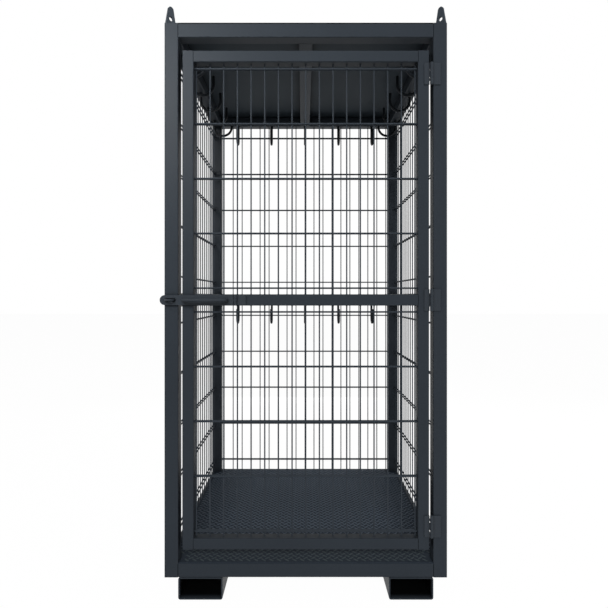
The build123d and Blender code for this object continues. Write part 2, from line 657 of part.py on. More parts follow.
# Hasp plate: a strap with a rounded end, a slot for the staple and the middle knuckle
HASP_END_R = HASP_HEIGHT / 2
HASP_STRAP_END_X = HASP_PIVOT_X - HASP_BARREL_R - HINGE_GAP
with BuildPart() as hasp_plate:
    with BuildSketch(Plane.XZ.offset(-HASP_FRONT_Y)):
        with Locations(((HASP_END_X + HASP_END_R + HASP_STRAP_END_X) / 2, DOOR_MID_Z)):
            Rectangle(HASP_STRAP_END_X - HASP_END_X - HASP_END_R, HASP_HEIGHT)
        with Locations((HASP_END_X + HASP_END_R, DOOR_MID_Z)):
            Circle(HASP_END_R)
        with Locations((SLOT_CENTRE_X, DOOR_MID_Z)):
            SlotOverall(SLOT_LENGTH, SLOT_HEIGHT, mode=Mode.SUBTRACT)
    extrude(amount=-HASP_THICK)
    with BuildSketch(Plane.XY.offset(DOOR_MID_Z - HASP_KNUCKLE / 2 + HINGE_GAP / 2)):
        with Locations((HASP_PIVOT_X, HASP_Y)):
            Circle(HASP_BARREL_R)
            Rectangle(HASP_BARREL_R + HINGE_GAP + 1.0, HASP_THICK, align=(Align.MAX, Align.CENTER))
            Circle(HASP_PIN_R + HINGE_PLAY, mode=Mode.SUBTRACT)
    extrude(amount=HASP_KNUCKLE - HINGE_GAP)
hasp_plate.part.label = "hasp_plate"
export_step(hasp_plate.part, "parts/hasp_plate.step")

# Bow handle on the hasp plate
HANDLE_Y = HASP_FRONT_Y - HANDLE_STAND
with BuildPart() as hasp_handle:
    with BuildLine() as handle_path:
        FilletPolyline(
            (HANDLE_LEFT_X, HASP_FRONT_Y, DOOR_MID_Z),
            (HANDLE_LEFT_X, HANDLE_Y, DOOR_MID_Z),
            (HANDLE_RIGHT_X, HANDLE_Y, DOOR_MID_Z),
            (HANDLE_RIGHT_X, HASP_FRONT_Y, DOOR_MID_Z),
            radius=HANDLE_BEND,
        )
    with BuildSketch(Plane.XZ.offset(-HASP_FRONT_Y)):
        with Locations((HANDLE_LEFT_X, DOOR_MID_Z)):
            bar_section(HANDLE_R)
    sweep(path=handle_path.wires()[0])
hasp_handle.part.label = "hasp_handle"
export_step(hasp_handle.part, "parts/hasp_handle.step")

# Staple on the post, through the hasp's slot
STAPLE_X = SLOT_CENTRE_X + STAPLE_SHIFT
with BuildPart() as hasp_staple:
    with BuildLine() as staple_path:
        staple_in = Line(
            (STAPLE_X - STAPLE_HALF, -Y_OUT, DOOR_MID_Z),
            (STAPLE_X - STAPLE_HALF, -Y_OUT - STAPLE_LEG, DOOR_MID_Z),
        )
        ThreePointArc(
            staple_in @ 1,
            (STAPLE_X, -Y_OUT - STAPLE_LEG - STAPLE_HALF, DOOR_MID_Z),
            (STAPLE_X + STAPLE_HALF, -Y_OUT - STAPLE_LEG, DOOR_MID_Z),
        )
        Line(
            (STAPLE_X + STAPLE_HALF, -Y_OUT - STAPLE_LEG, DOOR_MID_Z),
            (STAPLE_X + STAPLE_HALF, -Y_OUT, DOOR_MID_Z),
        )
    with BuildSketch(Plane.XZ.offset(Y_OUT)):
        with Locations((STAPLE_X - STAPLE_HALF, DOOR_MID_Z)):
            bar_section(STAPLE_BAR_R)
    sweep(path=staple_path.wires()[0])
hasp_staple.part.label = "hasp_staple"
export_step(hasp_staple.part, "parts/hasp_staple.step")

# Hooks of bent round bar: a U under each side rail, a J under the rear top and mid rails
SIDE_HOOK_Z = RAIL_UNDER_Z - SIDE_HOOK_DROP + SIDE_HOOK_R
SIDE_HOOK_X = X_OUT - SIDE_HOOK_IN
with BuildPart() as side_hooks_left:
    for y in SIDE_HOOK_SPOTS:
        with BuildLine() as hook_path:
            Line((-SIDE_HOOK_X, y, RAIL_UNDER_Z), (-SIDE_HOOK_X, y, SIDE_HOOK_Z))
            ThreePointArc(
                (-SIDE_HOOK_X, y, SIDE_HOOK_Z),
                (-SIDE_HOOK_X + SIDE_HOOK_R, y, SIDE_HOOK_Z - SIDE_HOOK_R),
                (-SIDE_HOOK_X + 2 * SIDE_HOOK_R, y, SIDE_HOOK_Z),
            )
            Line(
                (-SIDE_HOOK_X + 2 * SIDE_HOOK_R, y, SIDE_HOOK_Z),
                (-SIDE_HOOK_X + 2 * SIDE_HOOK_R, y, RAIL_UNDER_Z),
            )
        with BuildSketch(Plane.XY.offset(RAIL_UNDER_Z)):
            with Locations((-SIDE_HOOK_X, y)):
                bar_section(HOOK_BAR_R)
        sweep(path=hook_path.wires()[0])
side_hooks_left.part.label = "side_hooks_left"
export_step(side_hooks_left.part, "parts/side_hooks_left.step")

with BuildPart() as side_hooks_right:
    for y in SIDE_HOOK_SPOTS:
        with BuildLine() as hook_path:
            Line((SIDE_HOOK_X, y, RAIL_UNDER_Z), (SIDE_HOOK_X, y, SIDE_HOOK_Z))
            ThreePointArc(
                (SIDE_HOOK_X, y, SIDE_HOOK_Z),
                (SIDE_HOOK_X - SIDE_HOOK_R, y, SIDE_HOOK_Z - SIDE_HOOK_R),
                (SIDE_HOOK_X - 2 * SIDE_HOOK_R, y, SIDE_HOOK_Z),
            )
            Line(
                (SIDE_HOOK_X - 2 * SIDE_HOOK_R, y, SIDE_HOOK_Z),
                (SIDE_HOOK_X - 2 * SIDE_HOOK_R, y, RAIL_UNDER_Z),
            )
        with BuildSketch(Plane.XY.offset(RAIL_UNDER_Z)):
            with Locations((SIDE_HOOK_X, y)):
                bar_section(HOOK_BAR_R)
        sweep(path=hook_path.wires()[0])
side_hooks_right.part.label = "side_hooks_right"
export_step(side_hooks_right.part, "parts/side_hooks_right.step")

REAR_HOOK_Y = Y_IN + REAR_HOOK_IN
with BuildPart() as rear_hooks_upper:
    for x in REAR_HOOK_SPOTS:
        with BuildLine() as hook_path:
            bend_z = RAIL_UNDER_Z - REAR_HOOK_DROP + REAR_HOOK_R
            Line((x, REAR_HOOK_Y, RAIL_UNDER_Z), (x, REAR_HOOK_Y, bend_z))
            ThreePointArc(
                (x, REAR_HOOK_Y, bend_z),
                (x, REAR_HOOK_Y - REAR_HOOK_R, bend_z - REAR_HOOK_R),
                (x, REAR_HOOK_Y - 2 * REAR_HOOK_R, bend_z),
            )
            Line(
                (x, REAR_HOOK_Y - 2 * REAR_HOOK_R, bend_z),
                (x, REAR_HOOK_Y - 2 * REAR_HOOK_R, RAIL_UNDER_Z - REAR_HOOK_DROP + REAR_HOOK_TIP),
            )
        with BuildSketch(Plane.XY.offset(RAIL_UNDER_Z)):
            with Locations((x, REAR_HOOK_Y)):
                bar_section(HOOK_BAR_R)
        sweep(path=hook_path.wires()[0])
rear_hooks_upper.part.label = "rear_hooks_upper"
export_step(rear_hooks_upper.part, "parts/rear_hooks_upper.step")

with BuildPart() as rear_hooks_lower:
    for x in REAR_HOOK_SPOTS:
        with BuildLine() as hook_path:
            bend_z = PANEL_MID_UNDER_Z - REAR_HOOK_DROP + REAR_HOOK_R
            Line((x, REAR_HOOK_Y, PANEL_MID_UNDER_Z), (x, REAR_HOOK_Y, bend_z))
            ThreePointArc(
                (x, REAR_HOOK_Y, bend_z),
                (x, REAR_HOOK_Y - REAR_HOOK_R, bend_z - REAR_HOOK_R),
                (x, REAR_HOOK_Y - 2 * REAR_HOOK_R, bend_z),
            )
            Line(
                (x, REAR_HOOK_Y - 2 * REAR_HOOK_R, bend_z),
                (x, REAR_HOOK_Y - 2 * REAR_HOOK_R, PANEL_MID_UNDER_Z - REAR_HOOK_DROP + REAR_HOOK_TIP),
            )
        with BuildSketch(Plane.XY.offset(PANEL_MID_UNDER_Z)):
            with Locations((x, REAR_HOOK_Y)):
                bar_section(HOOK_BAR_R)
        sweep(path=hook_path.wires()[0])
rear_hooks_lower.part.label = "rear_hooks_lower"
export_step(rear_hooks_lower.part, "parts/rear_hooks_lower.step")
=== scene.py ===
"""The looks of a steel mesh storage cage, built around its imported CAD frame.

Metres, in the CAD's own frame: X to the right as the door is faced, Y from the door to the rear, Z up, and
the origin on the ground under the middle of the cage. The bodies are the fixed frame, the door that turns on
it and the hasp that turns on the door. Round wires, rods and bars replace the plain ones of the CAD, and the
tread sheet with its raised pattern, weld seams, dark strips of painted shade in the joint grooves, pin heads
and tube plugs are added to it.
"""

import json
import logging
import math
from dataclasses import dataclass
from enum import Enum

import bpy
import numpy as np
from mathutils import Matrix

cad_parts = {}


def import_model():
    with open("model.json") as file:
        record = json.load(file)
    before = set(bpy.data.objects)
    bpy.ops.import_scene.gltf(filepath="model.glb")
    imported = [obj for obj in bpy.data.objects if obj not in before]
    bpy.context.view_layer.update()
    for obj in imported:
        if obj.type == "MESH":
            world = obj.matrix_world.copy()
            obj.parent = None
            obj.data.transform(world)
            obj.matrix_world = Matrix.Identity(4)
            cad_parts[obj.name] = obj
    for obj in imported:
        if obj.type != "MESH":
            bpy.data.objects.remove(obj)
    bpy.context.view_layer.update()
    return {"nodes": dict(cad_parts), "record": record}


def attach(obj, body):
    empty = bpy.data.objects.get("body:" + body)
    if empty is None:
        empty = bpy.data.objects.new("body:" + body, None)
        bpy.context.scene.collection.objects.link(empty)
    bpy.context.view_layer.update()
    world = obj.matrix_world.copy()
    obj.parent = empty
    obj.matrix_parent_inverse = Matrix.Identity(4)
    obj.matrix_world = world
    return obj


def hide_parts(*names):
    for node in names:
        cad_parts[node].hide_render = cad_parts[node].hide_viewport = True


LOG = logging.getLogger("storage_cage")
TURN = 2.0 * math.pi
FLAT_EDGE = math.radians(40.0)
Color = tuple[float, float, float]
Point = tuple[float, float, float]
Span = tuple[float, float]
RIGHT: Point = (1.0, 0.0, 0.0)
REARWARD: Point = (0.0, 1.0, 0.0)
FORWARD: Point = (0.0, -1.0, 0.0)
UP: Point = (0.0, 0.0, 1.0)
SIDES = (-1.0, 1.0)
CORNERS = tuple((x, y) for x in SIDES for y in SIDES)


class Body(Enum):
    """The CAD bodies that a piece can ride on."""

    FRAME = "frame"
    DOOR = "door"
    HASP = "hasp"


class Slot(Enum):
    """The record's material slots."""

    FRAME = "frame_coat"
    MESH = "mesh_coat"
    SHEET = "sheet_coat"
    FLOOR = "floor_coat"
    LIFTING = "lifting_coat"
    FITTING = "fitting_coat"


class Run(Enum):
    """The direction that a row, rod or rail runs in."""

    X = 0
    Y = 1


# Shader expressions


class Value:
    """A shader socket that adds Math nodes when it is used in an expression."""

    def __init__(self, tree: "ShaderTree", socket: bpy.types.NodeSocket) -> None:
        """Wraps a socket.

        Args:
            tree: the shader that the socket belongs to.
            socket: an output socket that gives one number.
        """
        self.tree = tree
        self.socket = socket

    def _math(self, operation: str, first: "Value | float", second: "Value | float") -> "Value":
        """Adds one Math node and returns its result."""
        made = self.tree.node("ShaderNodeMath", {"operation": operation}, {0: first, 1: second})
        return Value(self.tree, made.outputs[0])

    def __add__(self, other: "Value | float") -> "Value":
        """Returns self + other."""
        return self._math("ADD", self, other)

    def __radd__(self, other: float) -> "Value":
        """Returns other + self."""
        return self._math("ADD", other, self)

    def __sub__(self, other: "Value | float") -> "Value":
        """Returns self - other."""
        return self._math("SUBTRACT", self, other)

    def __rsub__(self, other: float) -> "Value":
        """Returns other - self."""
        return self._math("SUBTRACT", other, self)

    def __mul__(self, other: "Value | float") -> "Value":
        """Returns self * other."""
        return self._math("MULTIPLY", self, other)

    def __rmul__(self, other: float) -> "Value":
        """Returns other * self."""
        return self._math("MULTIPLY", other, self)

    def size(self) -> "Value":
        """Returns the value without its sign."""
        return self._math("ABSOLUTE", self, 0.0)

    def clamped(self) -> "Value":
        """Returns the value held between 0 and 1."""
        made = self.tree.node("ShaderNodeClamp", {}, {"Value": self, "Min": 0.0, "Max": 1.0})
        return Value(self.tree, made.outputs[0])

    def between(self, low: float, high: float) -> "Value":
        """Returns 0 at low and below, 1 at high and above, and a smooth rise between."""
        made = self.tree.node(
            "ShaderNodeMapRange",
            {"interpolation_type": "SMOOTHSTEP"},
            {"Value": self, "From Min": low, "From Max": high},
        )
        return Value(self.tree, made.outputs[0])


class ShaderTree:
    """The nodes of one material or of the world."""

    def __init__(self, owner: bpy.types.Material | bpy.types.World) -> None:
        """Empties the owner's node tree and keeps it.

        Args:
            owner: a new material or world.
        """
        owner.use_nodes = True
        self.tree = owner.node_tree
        self.tree.nodes.clear()

    def node(self, kind: str, settings: dict[str, object], inputs: dict[str | int, object]) -> bpy.types.Node:
        """Adds a node.

        Args:
            kind: the node's type.
            settings: its own properties, set before its sockets.
            inputs: a number, colour, vector, Value or output socket for each named input.

        Returns:
            The new node.
        """
        made = self.tree.nodes.new(kind)
        for key, value in settings.items():
            setattr(made, key, value)
        for key, value in inputs.items():
            if isinstance(value, Value):
                value = value.socket
            if isinstance(value, bpy.types.NodeSocket):
                self.tree.links.new(value, made.inputs[key])
            else:
                made.inputs[key].default_value = value
        return made

    def object_point(self) -> bpy.types.NodeSocket:
        """Returns the Object coordinates."""
        return self.node("ShaderNodeTexCoord", {}, {}).outputs["Object"]

    def place(self) -> tuple[Value, Value, Value]:
        """Returns the Object coordinates as three values."""
        parts = self.node("ShaderNodeSeparateXYZ", {}, {"Vector": self.object_point()}).outputs
        return Value(self, parts["X"]), Value(self, parts["Y"]), Value(self, parts["Z"])

    def noise(self, scale: float, detail: float, roughness: float = 0.5) -> Value:
        """Returns a cloudy pattern from 0 to 1 with about scale patches a metre."""
        made = self.node(
            "ShaderNodeTexNoise",
            {},
            {"Vector": self.object_point(), "Scale": scale, "Detail": detail, "Roughness": roughness},
        )
        return Value(self, made.outputs["Fac"])

    def hollow(self, reach: float) -> Value:
        """Returns how much of a point's surroundings is near other surfaces, from 0 in the open to 1.

        Args:
            reach: how far away a surface counts, in metres.
        """
        made = self.node("ShaderNodeAmbientOcclusion", {"samples": 6}, {"Distance": reach})
        return 1.0 - Value(self, made.outputs["AO"])

    def dot(self, first: object, second: object) -> Value:
        """Returns the scalar product of two vectors."""
        made = self.node("ShaderNodeVectorMath", {"operation": "DOT_PRODUCT"}, {0: first, 1: second})
        return Value(self, made.outputs["Value"])

    def mix(self, amount: "Value | float", first: object, second: object) -> bpy.types.NodeSocket:
        """Returns the first colour at amount 0, the second at 1, and a blend between."""
        made = self.node("ShaderNodeMix", {"data_type": "RGBA"}, {0: amount, 6: first, 7: second})
        return made.outputs[2]

    def painted(self, inputs: dict[str | int, object]) -> None:
        """Puts out a Principled surface with these inputs."""
        surface = self.node("ShaderNodeBsdfPrincipled", {}, inputs)
        self.node("ShaderNodeOutputMaterial", {}, {"Surface": surface.outputs[0]})

    def blended(self, output: str, amount: Value, first: bpy.types.Node, second: bpy.types.Node) -> None:
        """Puts out the first shader at amount 0, the second at 1, and a blend between.

        Args:
            output: the type of the output node.
            amount: how much of the second is seen.
            first: a shader's node.
            second: another's.
        """
        both = self.node("ShaderNodeMixShader", {}, {0: amount, 1: first.outputs[0], 2: second.outputs[0]})
        self.node(output, {}, {"Surface": both.outputs[0]})


def rgba(color: Color) -> tuple[float, float, float, float]:
    """Returns a colour with full opacity."""
    return (*color, 1.0)


def scaled(numbers: tuple[float, ...], by: float) -> tuple[float, ...]:
    """Returns a colour made lighter or darker, or a point or direction made longer, by a factor."""
    return tuple(number * by for number in numbers)


# The finishes

WHITE = (1.0, 1.0, 1.0, 1.0)
# Painted light among these tones: the grey on upward faces is partly dust and partly a painted sheen, the
# edge tone is a painted highlight and the crease tone is painted shade.
DUST_AND_SHEEN_GREY: Color = (0.13, 0.14, 0.155)
CLOUD_SHADES = (0.92, 1.08)
EDGE_HIGHLIGHT_SHADE = 2.2
CREASE_SHADE = 0.10
EDGE_GAIN = 5.0
PEEL_DEPTH = 0.0004
GRAIN_DEPTH = 0.0002


@dataclass(frozen=True)
class PowderCoat:
    """A satin powder coat on steel: orange peel, uneven film, painted highlights on edges, dust with a
    painted sheen and painted shade in creases.

    Attributes:
        name: the material's name.
        color: the coat's colour.
        roughness: its mean roughness.
        gloss: the level of its mirror-like share.
        peel: how far the orange peel tilts the surface.
        edge: how much lighter an edge is painted, as a highlight.
        edge_round: the radius that the light finds on a sharp edge, in metres.
        crease: how dark the painted shade is in creases, joints and grooves.
        reach: how far from a crease that painted shade goes, in metres.
        dust_and_sheen: how much pale grey lies on faces that look up, partly settled dust and partly a
            painted sheen.
        rub: how far handling has polished the coat in patches.
    """

    name: str
    color: Color
    roughness: float = 0.44
    gloss: float = 0.08
    peel: float = 0.12
    edge: float = 0.5
    edge_round: float = 0.0012
    crease: float = 0.85
    reach: float = 0.011
    dust_and_sheen: float = 0.04
    rub: float = 0.0

    def build(self) -> bpy.types.Material:
        """Makes the material.

        Colour: the coat's colour, from 8% darker to 8% lighter in slow clouds and fine mottling, towards a
        lighter tone where the rounded normal leaves the true one, which is along edges, as a painted
        highlight, towards a pale grey on faces that look up, which is partly dust and partly a painted sheen,
        towards a dark tone in creases, as painted shade, and towards any painted shade of the coat's own.
        Roughness: the mean, with the mottling and the dust added and the rubbed patches taken off. Normal:
        the rounded normal tilted by the orange peel.

        Returns:
            The material.
        """
        material = bpy.data.materials.new(self.name)
        shader = ShaderTree(material)
        cloud = shader.noise(scale=2.6, detail=3.0)
        mottle = shader.noise(scale=170.0, detail=2.0, roughness=0.6)
        peel = shader.noise(scale=620.0, detail=1.0)
        patch = shader.noise(scale=9.0, detail=3.0).between(0.52, 0.72)
        true_normal = shader.node("ShaderNodeNewGeometry", {}, {}).outputs["Normal"]
        bevel = shader.node("ShaderNodeBevel", {"samples": 4}, {"Radius": self.edge_round})
        rounded = bevel.outputs["Normal"]
        # Painted highlight: lighter where the bevelled normal leaves the true one, which is along edges.
        edge = ((1.0 - shader.dot(rounded, true_normal)) * EDGE_GAIN).clamped() * self.edge
        # Partly dust and partly a painted sheen: a pale grey in patches on faces that look up.
        upward = shader.dot(true_normal, UP).between(0.55, 0.95)
        dust_and_sheen = upward * patch * self.dust_and_sheen
        tone = (cloud * 0.6 + mottle * 0.4).between(0.25, 0.75)
        coat = shader.mix(tone, *(rgba(scaled(self.color, shade)) for shade in CLOUD_SHADES))
        coat = shader.mix(edge, coat, rgba(scaled(self.color, EDGE_HIGHLIGHT_SHADE)))
        coat = shader.mix(dust_and_sheen, coat, rgba(DUST_AND_SHEEN_GREY))
        # Painted shade: darker in creases, joints and grooves, from ambient occlusion.
        if self.crease > 0.0:
            dark = rgba(scaled(self.color, CREASE_SHADE))
            coat = shader.mix(shader.hollow(self.reach) * self.crease, coat, dark)
        # Painted shade of the coat's own, as inside the fork pockets and on the roof sheet's edges.
        coat = self.painted_shade(shader, coat)
        rough = self.roughness + (mottle - 0.5) * 0.12 + dust_and_sheen * 0.5 - patch * self.rub
        bump = shader.node(
            "ShaderNodeBump",
            {},
            {"Strength": self.peel, "Distance": PEEL_DEPTH, "Height": peel, "Normal": rounded},
        )
        shader.painted(
            {
                "Base Color": coat,
                "Roughness": rough.clamped(),
                "Normal": bump.outputs["Normal"],
                "Specular IOR Level": self.gloss,
            }
        )
        return material

    def painted_shade(self, shader: ShaderTree, coat: bpy.types.NodeSocket) -> bpy.types.NodeSocket:
        """Returns the colour with the coat's own painted shade added; the plain coat adds none.

        Args:
            shader: the material's shader.
            coat: the colour so far.

        Returns:
            The colour that is used.
        """
        return coat


@dataclass(frozen=True)
class ShadedPocketCoat(PowderCoat):
    """The powder coat of the fork pockets, with painted shade inside that deepens from the mouths.

    Attributes:
        pocket_shade: the near-black colour painted inside as shade.
        inner: the nearer and the farther inner face on X, and the lower and the upper one on Z.
        mouth: the place of the mouths on Y, before and behind the middle.
        fade: how far in from a mouth the painted shade rises to full.
        hair: the width of the step at an inner face.
    """

    pocket_shade: Color = (0.0030, 0.0031, 0.0033)
    inner: tuple[float, float, float, float] = (0.3045, 0.4555, 0.0045, 0.0755)
    mouth: float = 0.510
    fade: float = 0.030
    hair: float = 0.0002

    def painted_shade(self, shader: ShaderTree, coat: bpy.types.NodeSocket) -> bpy.types.NodeSocket:
        """Returns the coat's colour outside and painted shade inside.

        The share of painted shade is the product of four steps, which are 1 between the inner faces, and of
        a fade that rises from a mouth inwards.
        """
        near, far, low, high = self.inner
        across, along, up = shader.place()
        off = across.size()
        inside = off.between(near - self.hair, near) * (1.0 - off.between(far, far + self.hair))
        inside = inside * up.between(low - self.hair, low) * (1.0 - up.between(high, high + self.hair))
        deep = 1.0 - along.size().between(self.mouth - self.fade, self.mouth)
        return shader.mix(inside * deep, coat, rgba(self.pocket_shade))


@dataclass(frozen=True)
class SheetCoat(PowderCoat):
    """The powder coat of the roof sheet, with painted shade on the sheet's edges.

    Attributes:
        sheet_edge_shade: the dark colour painted on the edges as shade.
    """

    sheet_edge_shade: Color = (0.0060, 0.0065, 0.0072)

    def painted_shade(self, shader: ShaderTree, coat: bpy.types.NodeSocket) -> bpy.types.NodeSocket:
        """Returns the coat's colour on the faces and painted shade on the edges, which face level."""
        normal = shader.node("ShaderNodeNewGeometry", {}, {}).outputs["True Normal"]
        level = 1.0 - shader.dot(normal, UP).size().between(0.2, 0.6)
        return shader.mix(level, coat, rgba(self.sheet_edge_shade))


@dataclass(frozen=True)
class MouldedPlastic:
    """Black moulded plastic with a fine spark-eroded grain.

    Attributes:
        name: the material's name.
        color: the plastic's colour.
        roughness: its mean roughness.
    """

    name: str
    color: Color = (0.014, 0.014, 0.015)
    roughness: float = 0.55

    def build(self) -> bpy.types.Material:
        """Makes the material: a fine grain as bump, with colour and roughness following it a little.

        Returns:
            The material.
        """
        material = bpy.data.materials.new(self.name)
        shader = ShaderTree(material)
        grain = shader.noise(scale=1400.0, detail=2.0)
        cloud = shader.noise(scale=30.0, detail=2.0)
        color = shader.mix(cloud, rgba(scaled(self.color, 0.8)), rgba(scaled(self.color, 1.35)))
        rough = (self.roughness + (grain - 0.5) * 0.2).clamped()
        bump = shader.node("ShaderNodeBump", {}, {"Strength": 0.25, "Distance": GRAIN_DEPTH, "Height": grain})
        shader.painted({"Base Color": color, "Roughness": rough, "Normal": bump.outputs["Normal"]})
        return material


ANTHRACITE: Color = (0.0350, 0.0428, 0.0530)
COATS: dict[Slot, PowderCoat] = {
    Slot.FRAME: PowderCoat("frame_powder_coat", ANTHRACITE, reach=0.030),
    # The mesh is a 20% lighter copy of the anthracite, as a painted highlight in place of glints on the round
    # wires.
    Slot.MESH: PowderCoat(
        "mesh_coat_painted_highlight", scaled(ANTHRACITE, 1.20), roughness=0.48, edge=0.0, edge_round=0.0002, crease=0.0
    ),
    Slot.SHEET: SheetCoat("sheet_powder_coat", (0.0330, 0.0430, 0.0525), gloss=0.03, peel=0.16, reach=0.030),
    # The floor sheet's coat is bluer and a little lighter than the frame's, the lightening as painted light.
    Slot.FLOOR: PowderCoat(
        "floor_powder_coat", (0.0345, 0.0450, 0.0600), roughness=0.52, gloss=0.02, reach=0.008, dust_and_sheen=0.0,
        rub=0.06,
    ),
    # The lugs are a 35% lighter copy of the anthracite, as painted light on their faces.
    Slot.LIFTING: PowderCoat("lifting_coat_painted_light", scaled(ANTHRACITE, 1.35), edge=0.4, rub=0.06),
    Slot.FITTING: PowderCoat(
        "fitting_powder_coat", scaled(ANTHRACITE, 1.02), roughness=0.38, gloss=0.16, edge=0.7, rub=0.06
    ),
}
# The hooks are a darker copy of the anthracite, at 40%, as painted shade.
HOOK_SHADE_COAT = PowderCoat("hook_coat_painted_shade", scaled(ANTHRACITE, 0.40), roughness=0.36, edge=0.3, crease=0.0)
# Near-black strips set in the joint grooves, as painted shade.
GROOVE_SHADE_COAT = PowderCoat(
    "joint_groove_painted_shade", (0.0025, 0.0029, 0.0034), roughness=0.70, gloss=0.02, edge=0.0, crease=0.0, dust_and_sheen=0.0
)
# The fork pockets' coat, near black inside as painted shade.
POCKET_COAT = ShadedPocketCoat("fork_pocket_shaded_coat", scaled(ANTHRACITE, 0.98))
# The tears are much lighter than the sheet, partly for wear on their raised tops and partly as painted light
# on the floor.
TEAR_COAT = PowderCoat(
    "tread_tear_coat", (0.1050, 0.1310, 0.1660), roughness=0.46, gloss=0.03, edge=0.0, crease=0.0, dust_and_sheen=0.0
)
# A darker copy of the tears' coat for those under the door, as a painted shadow of its bottom rail.
SHADED_TEAR_COAT = PowderCoat(
    "tear_coat_painted_shadow", (0.0680, 0.0860, 0.0960), roughness=0.46, gloss=0.03, edge=0.0, crease=0.0, dust_and_sheen=0.0
)
POCKETS = ("fork_pocket_left", "fork_pocket_right")


# Meshes worked out as whole arrays


def circle(sides: int) -> np.ndarray:
    """Returns cosine and sine at equal steps of a turn, as sides x 2."""
    angle = np.arange(sides) * (TURN / sides)
    return np.stack([np.cos(angle), np.sin(angle)], axis=-1)


def spread_out(count: int, pitch: float) -> np.ndarray:
    """Returns the places of a row of things, a pitch apart about the middle."""
    return (np.arange(count) - (count - 1) / 2.0) * pitch


def unit_across(along: np.ndarray) -> np.ndarray:
    """Returns a unit vector across a direction, and level where the direction is level or upright."""
    across = np.cross(along, UP if abs(along[2]) < 0.9 else RIGHT)
    return across / np.linalg.norm(across)


@dataclass
class Path:
    """A path in a plane.

    Attributes:
        points: its points, n x 3.
        along: the unit direction at each point, n x 3.
        across: the unit normal of the path's plane.
    """

    points: np.ndarray
    along: np.ndarray
    across: np.ndarray

    def bar(self, radius: np.ndarray | float, sides: int) -> np.ndarray:
        """Carries a circle along the path.

        A point is the path's point plus the radius times (side cos a + across sin a), where side is across
        x along, so the sides run anticlockwise about the path's direction.

        Args:
            radius: one radius, or one for each point.
            sides: the number of sides.

        Returns:
            The rings, n x sides x 3.
        """
        side = np.cross(self.across, self.along)
        wheel = circle(sides)
        radii = np.broadcast_to(np.asarray(radius, float), len(self.points))[:, None, None]
        spoke = side[:, None, :] * wheel[None, :, :1] + self.across[None, None, :] * wheel[None, :, 1:]
        return self.points[:, None, :] + radii * spoke

    def eased(self, radius: float, ease: float, start: bool, end: bool) -> tuple["Path", np.ndarray]:
        """Rounds off the ends of a bar on this path.

        At an eased end the radius falls by the ease along a quarter circle, in three steps, and the path
        ends where it did.

        Args:
            radius: the bar's radius.
            ease: the radius of the rounding.
            start: whether the first end is eased.
            end: whether the last end is eased.

        Returns:
            The path with the added points, and the radius at each.
        """
        angle = np.radians([0.0, 30.0, 60.0, 90.0])
        back = ease * (1.0 - np.sin(angle))[:, None]
        fall = radius - ease * (1.0 - np.cos(angle))
        points, along = self.points, self.along
        radii = np.full(len(points), radius)
        if end:
            points = np.concatenate([points[:-1], points[-1] - along[-1] * back])
            along = np.concatenate([along[:-1], np.repeat(along[-1:], 4, axis=0)])
            radii = np.concatenate([radii[:-1], fall])
        if start:
            points = np.concatenate([(points[0] + along[0] * back)[::-1], points[1:]])
            along = np.concatenate([np.repeat(along[:1], 4, axis=0), along[1:]])
            radii = np.concatenate([fall[::-1], radii[1:]])
        return Path(points, along, self.across), radii


def bent_path(
    origin: Point, first: Point, second: Point, corners: list[tuple[float, float]], bend: float, steps: int
) -> Path:
    """Makes a flat path of straight runs with a round bend at each inner corner.

    A bend starts the tangent length, bend times tan(turn / 2), before its corner. Its point at angle a is
    the centre plus bend times (-inward cos a + ahead sin a), and its direction is ahead cos a + inward sin a.

    Args:
        origin: the point that the corners are measured from.
        first: the unit direction of the corners' first number.
        second: the unit direction of their second number.
        corners: the ends and corners of the path.
        bend: the radius of the bends.
        steps: the steps in a bend.

    Returns:
        The path.
    """
    spots = np.array(corners, float)
    ahead = np.diff(spots, axis=0)
    ahead /= np.linalg.norm(ahead, axis=1, keepdims=True)
    flat, way = [spots[:1]], [ahead[:1]]
    for corner, before, after in zip(spots[1:-1], ahead[:-1], ahead[1:]):
        turn = math.atan2(before[0] * after[1] - before[1] * after[0], float(before @ after))
        inward = math.copysign(1.0, turn) * np.array([-before[1], before[0]])
        centre = corner - before * bend * math.tan(abs(turn) / 2.0) + inward * bend
        angle = np.linspace(0.0, abs(turn), steps + 1)[:, None]
        flat.append(centre + bend * (before * np.sin(angle) - inward * np.cos(angle)))
        way.append(before * np.cos(angle) + inward * np.sin(angle))
    flat.append(spots[-1:])
    way.append(ahead[-1:])
    line, heading = np.concatenate(flat), np.concatenate(way)
    keep = np.append(True, np.linalg.norm(np.diff(line, axis=0), axis=1) > 1e-7)
    basis = np.array([first, second], float)
    return Path(np.array(origin) + line[keep] @ basis, heading[keep] @ basis, np.cross(basis[0], basis[1]))


def straight_path(start: Point, end: Point, pitch: float) -> Path:
    """Makes a straight path with a point about every pitch.

    Args:
        start: its first point.
        end: its last point.
        pitch: the distance between points.

    Returns:
        The path.
    """
    first, last = np.array(start, float), np.array(end, float)
    reach = np.linalg.norm(last - first)
    along = (last - first) / reach
    count = max(4, int(round(reach / pitch)) + 1)
    points = first + np.linspace(0.0, 1.0, count)[:, None] * (last - first)
    return Path(points, np.repeat(along[None], count, axis=0), unit_across(along))


def add_object(name: str, data: bpy.types.ID) -> bpy.types.Object:
    """Adds an object to the scene and returns it."""
    made = bpy.data.objects.new(name, data)
    bpy.context.scene.collection.objects.link(made)
    return made


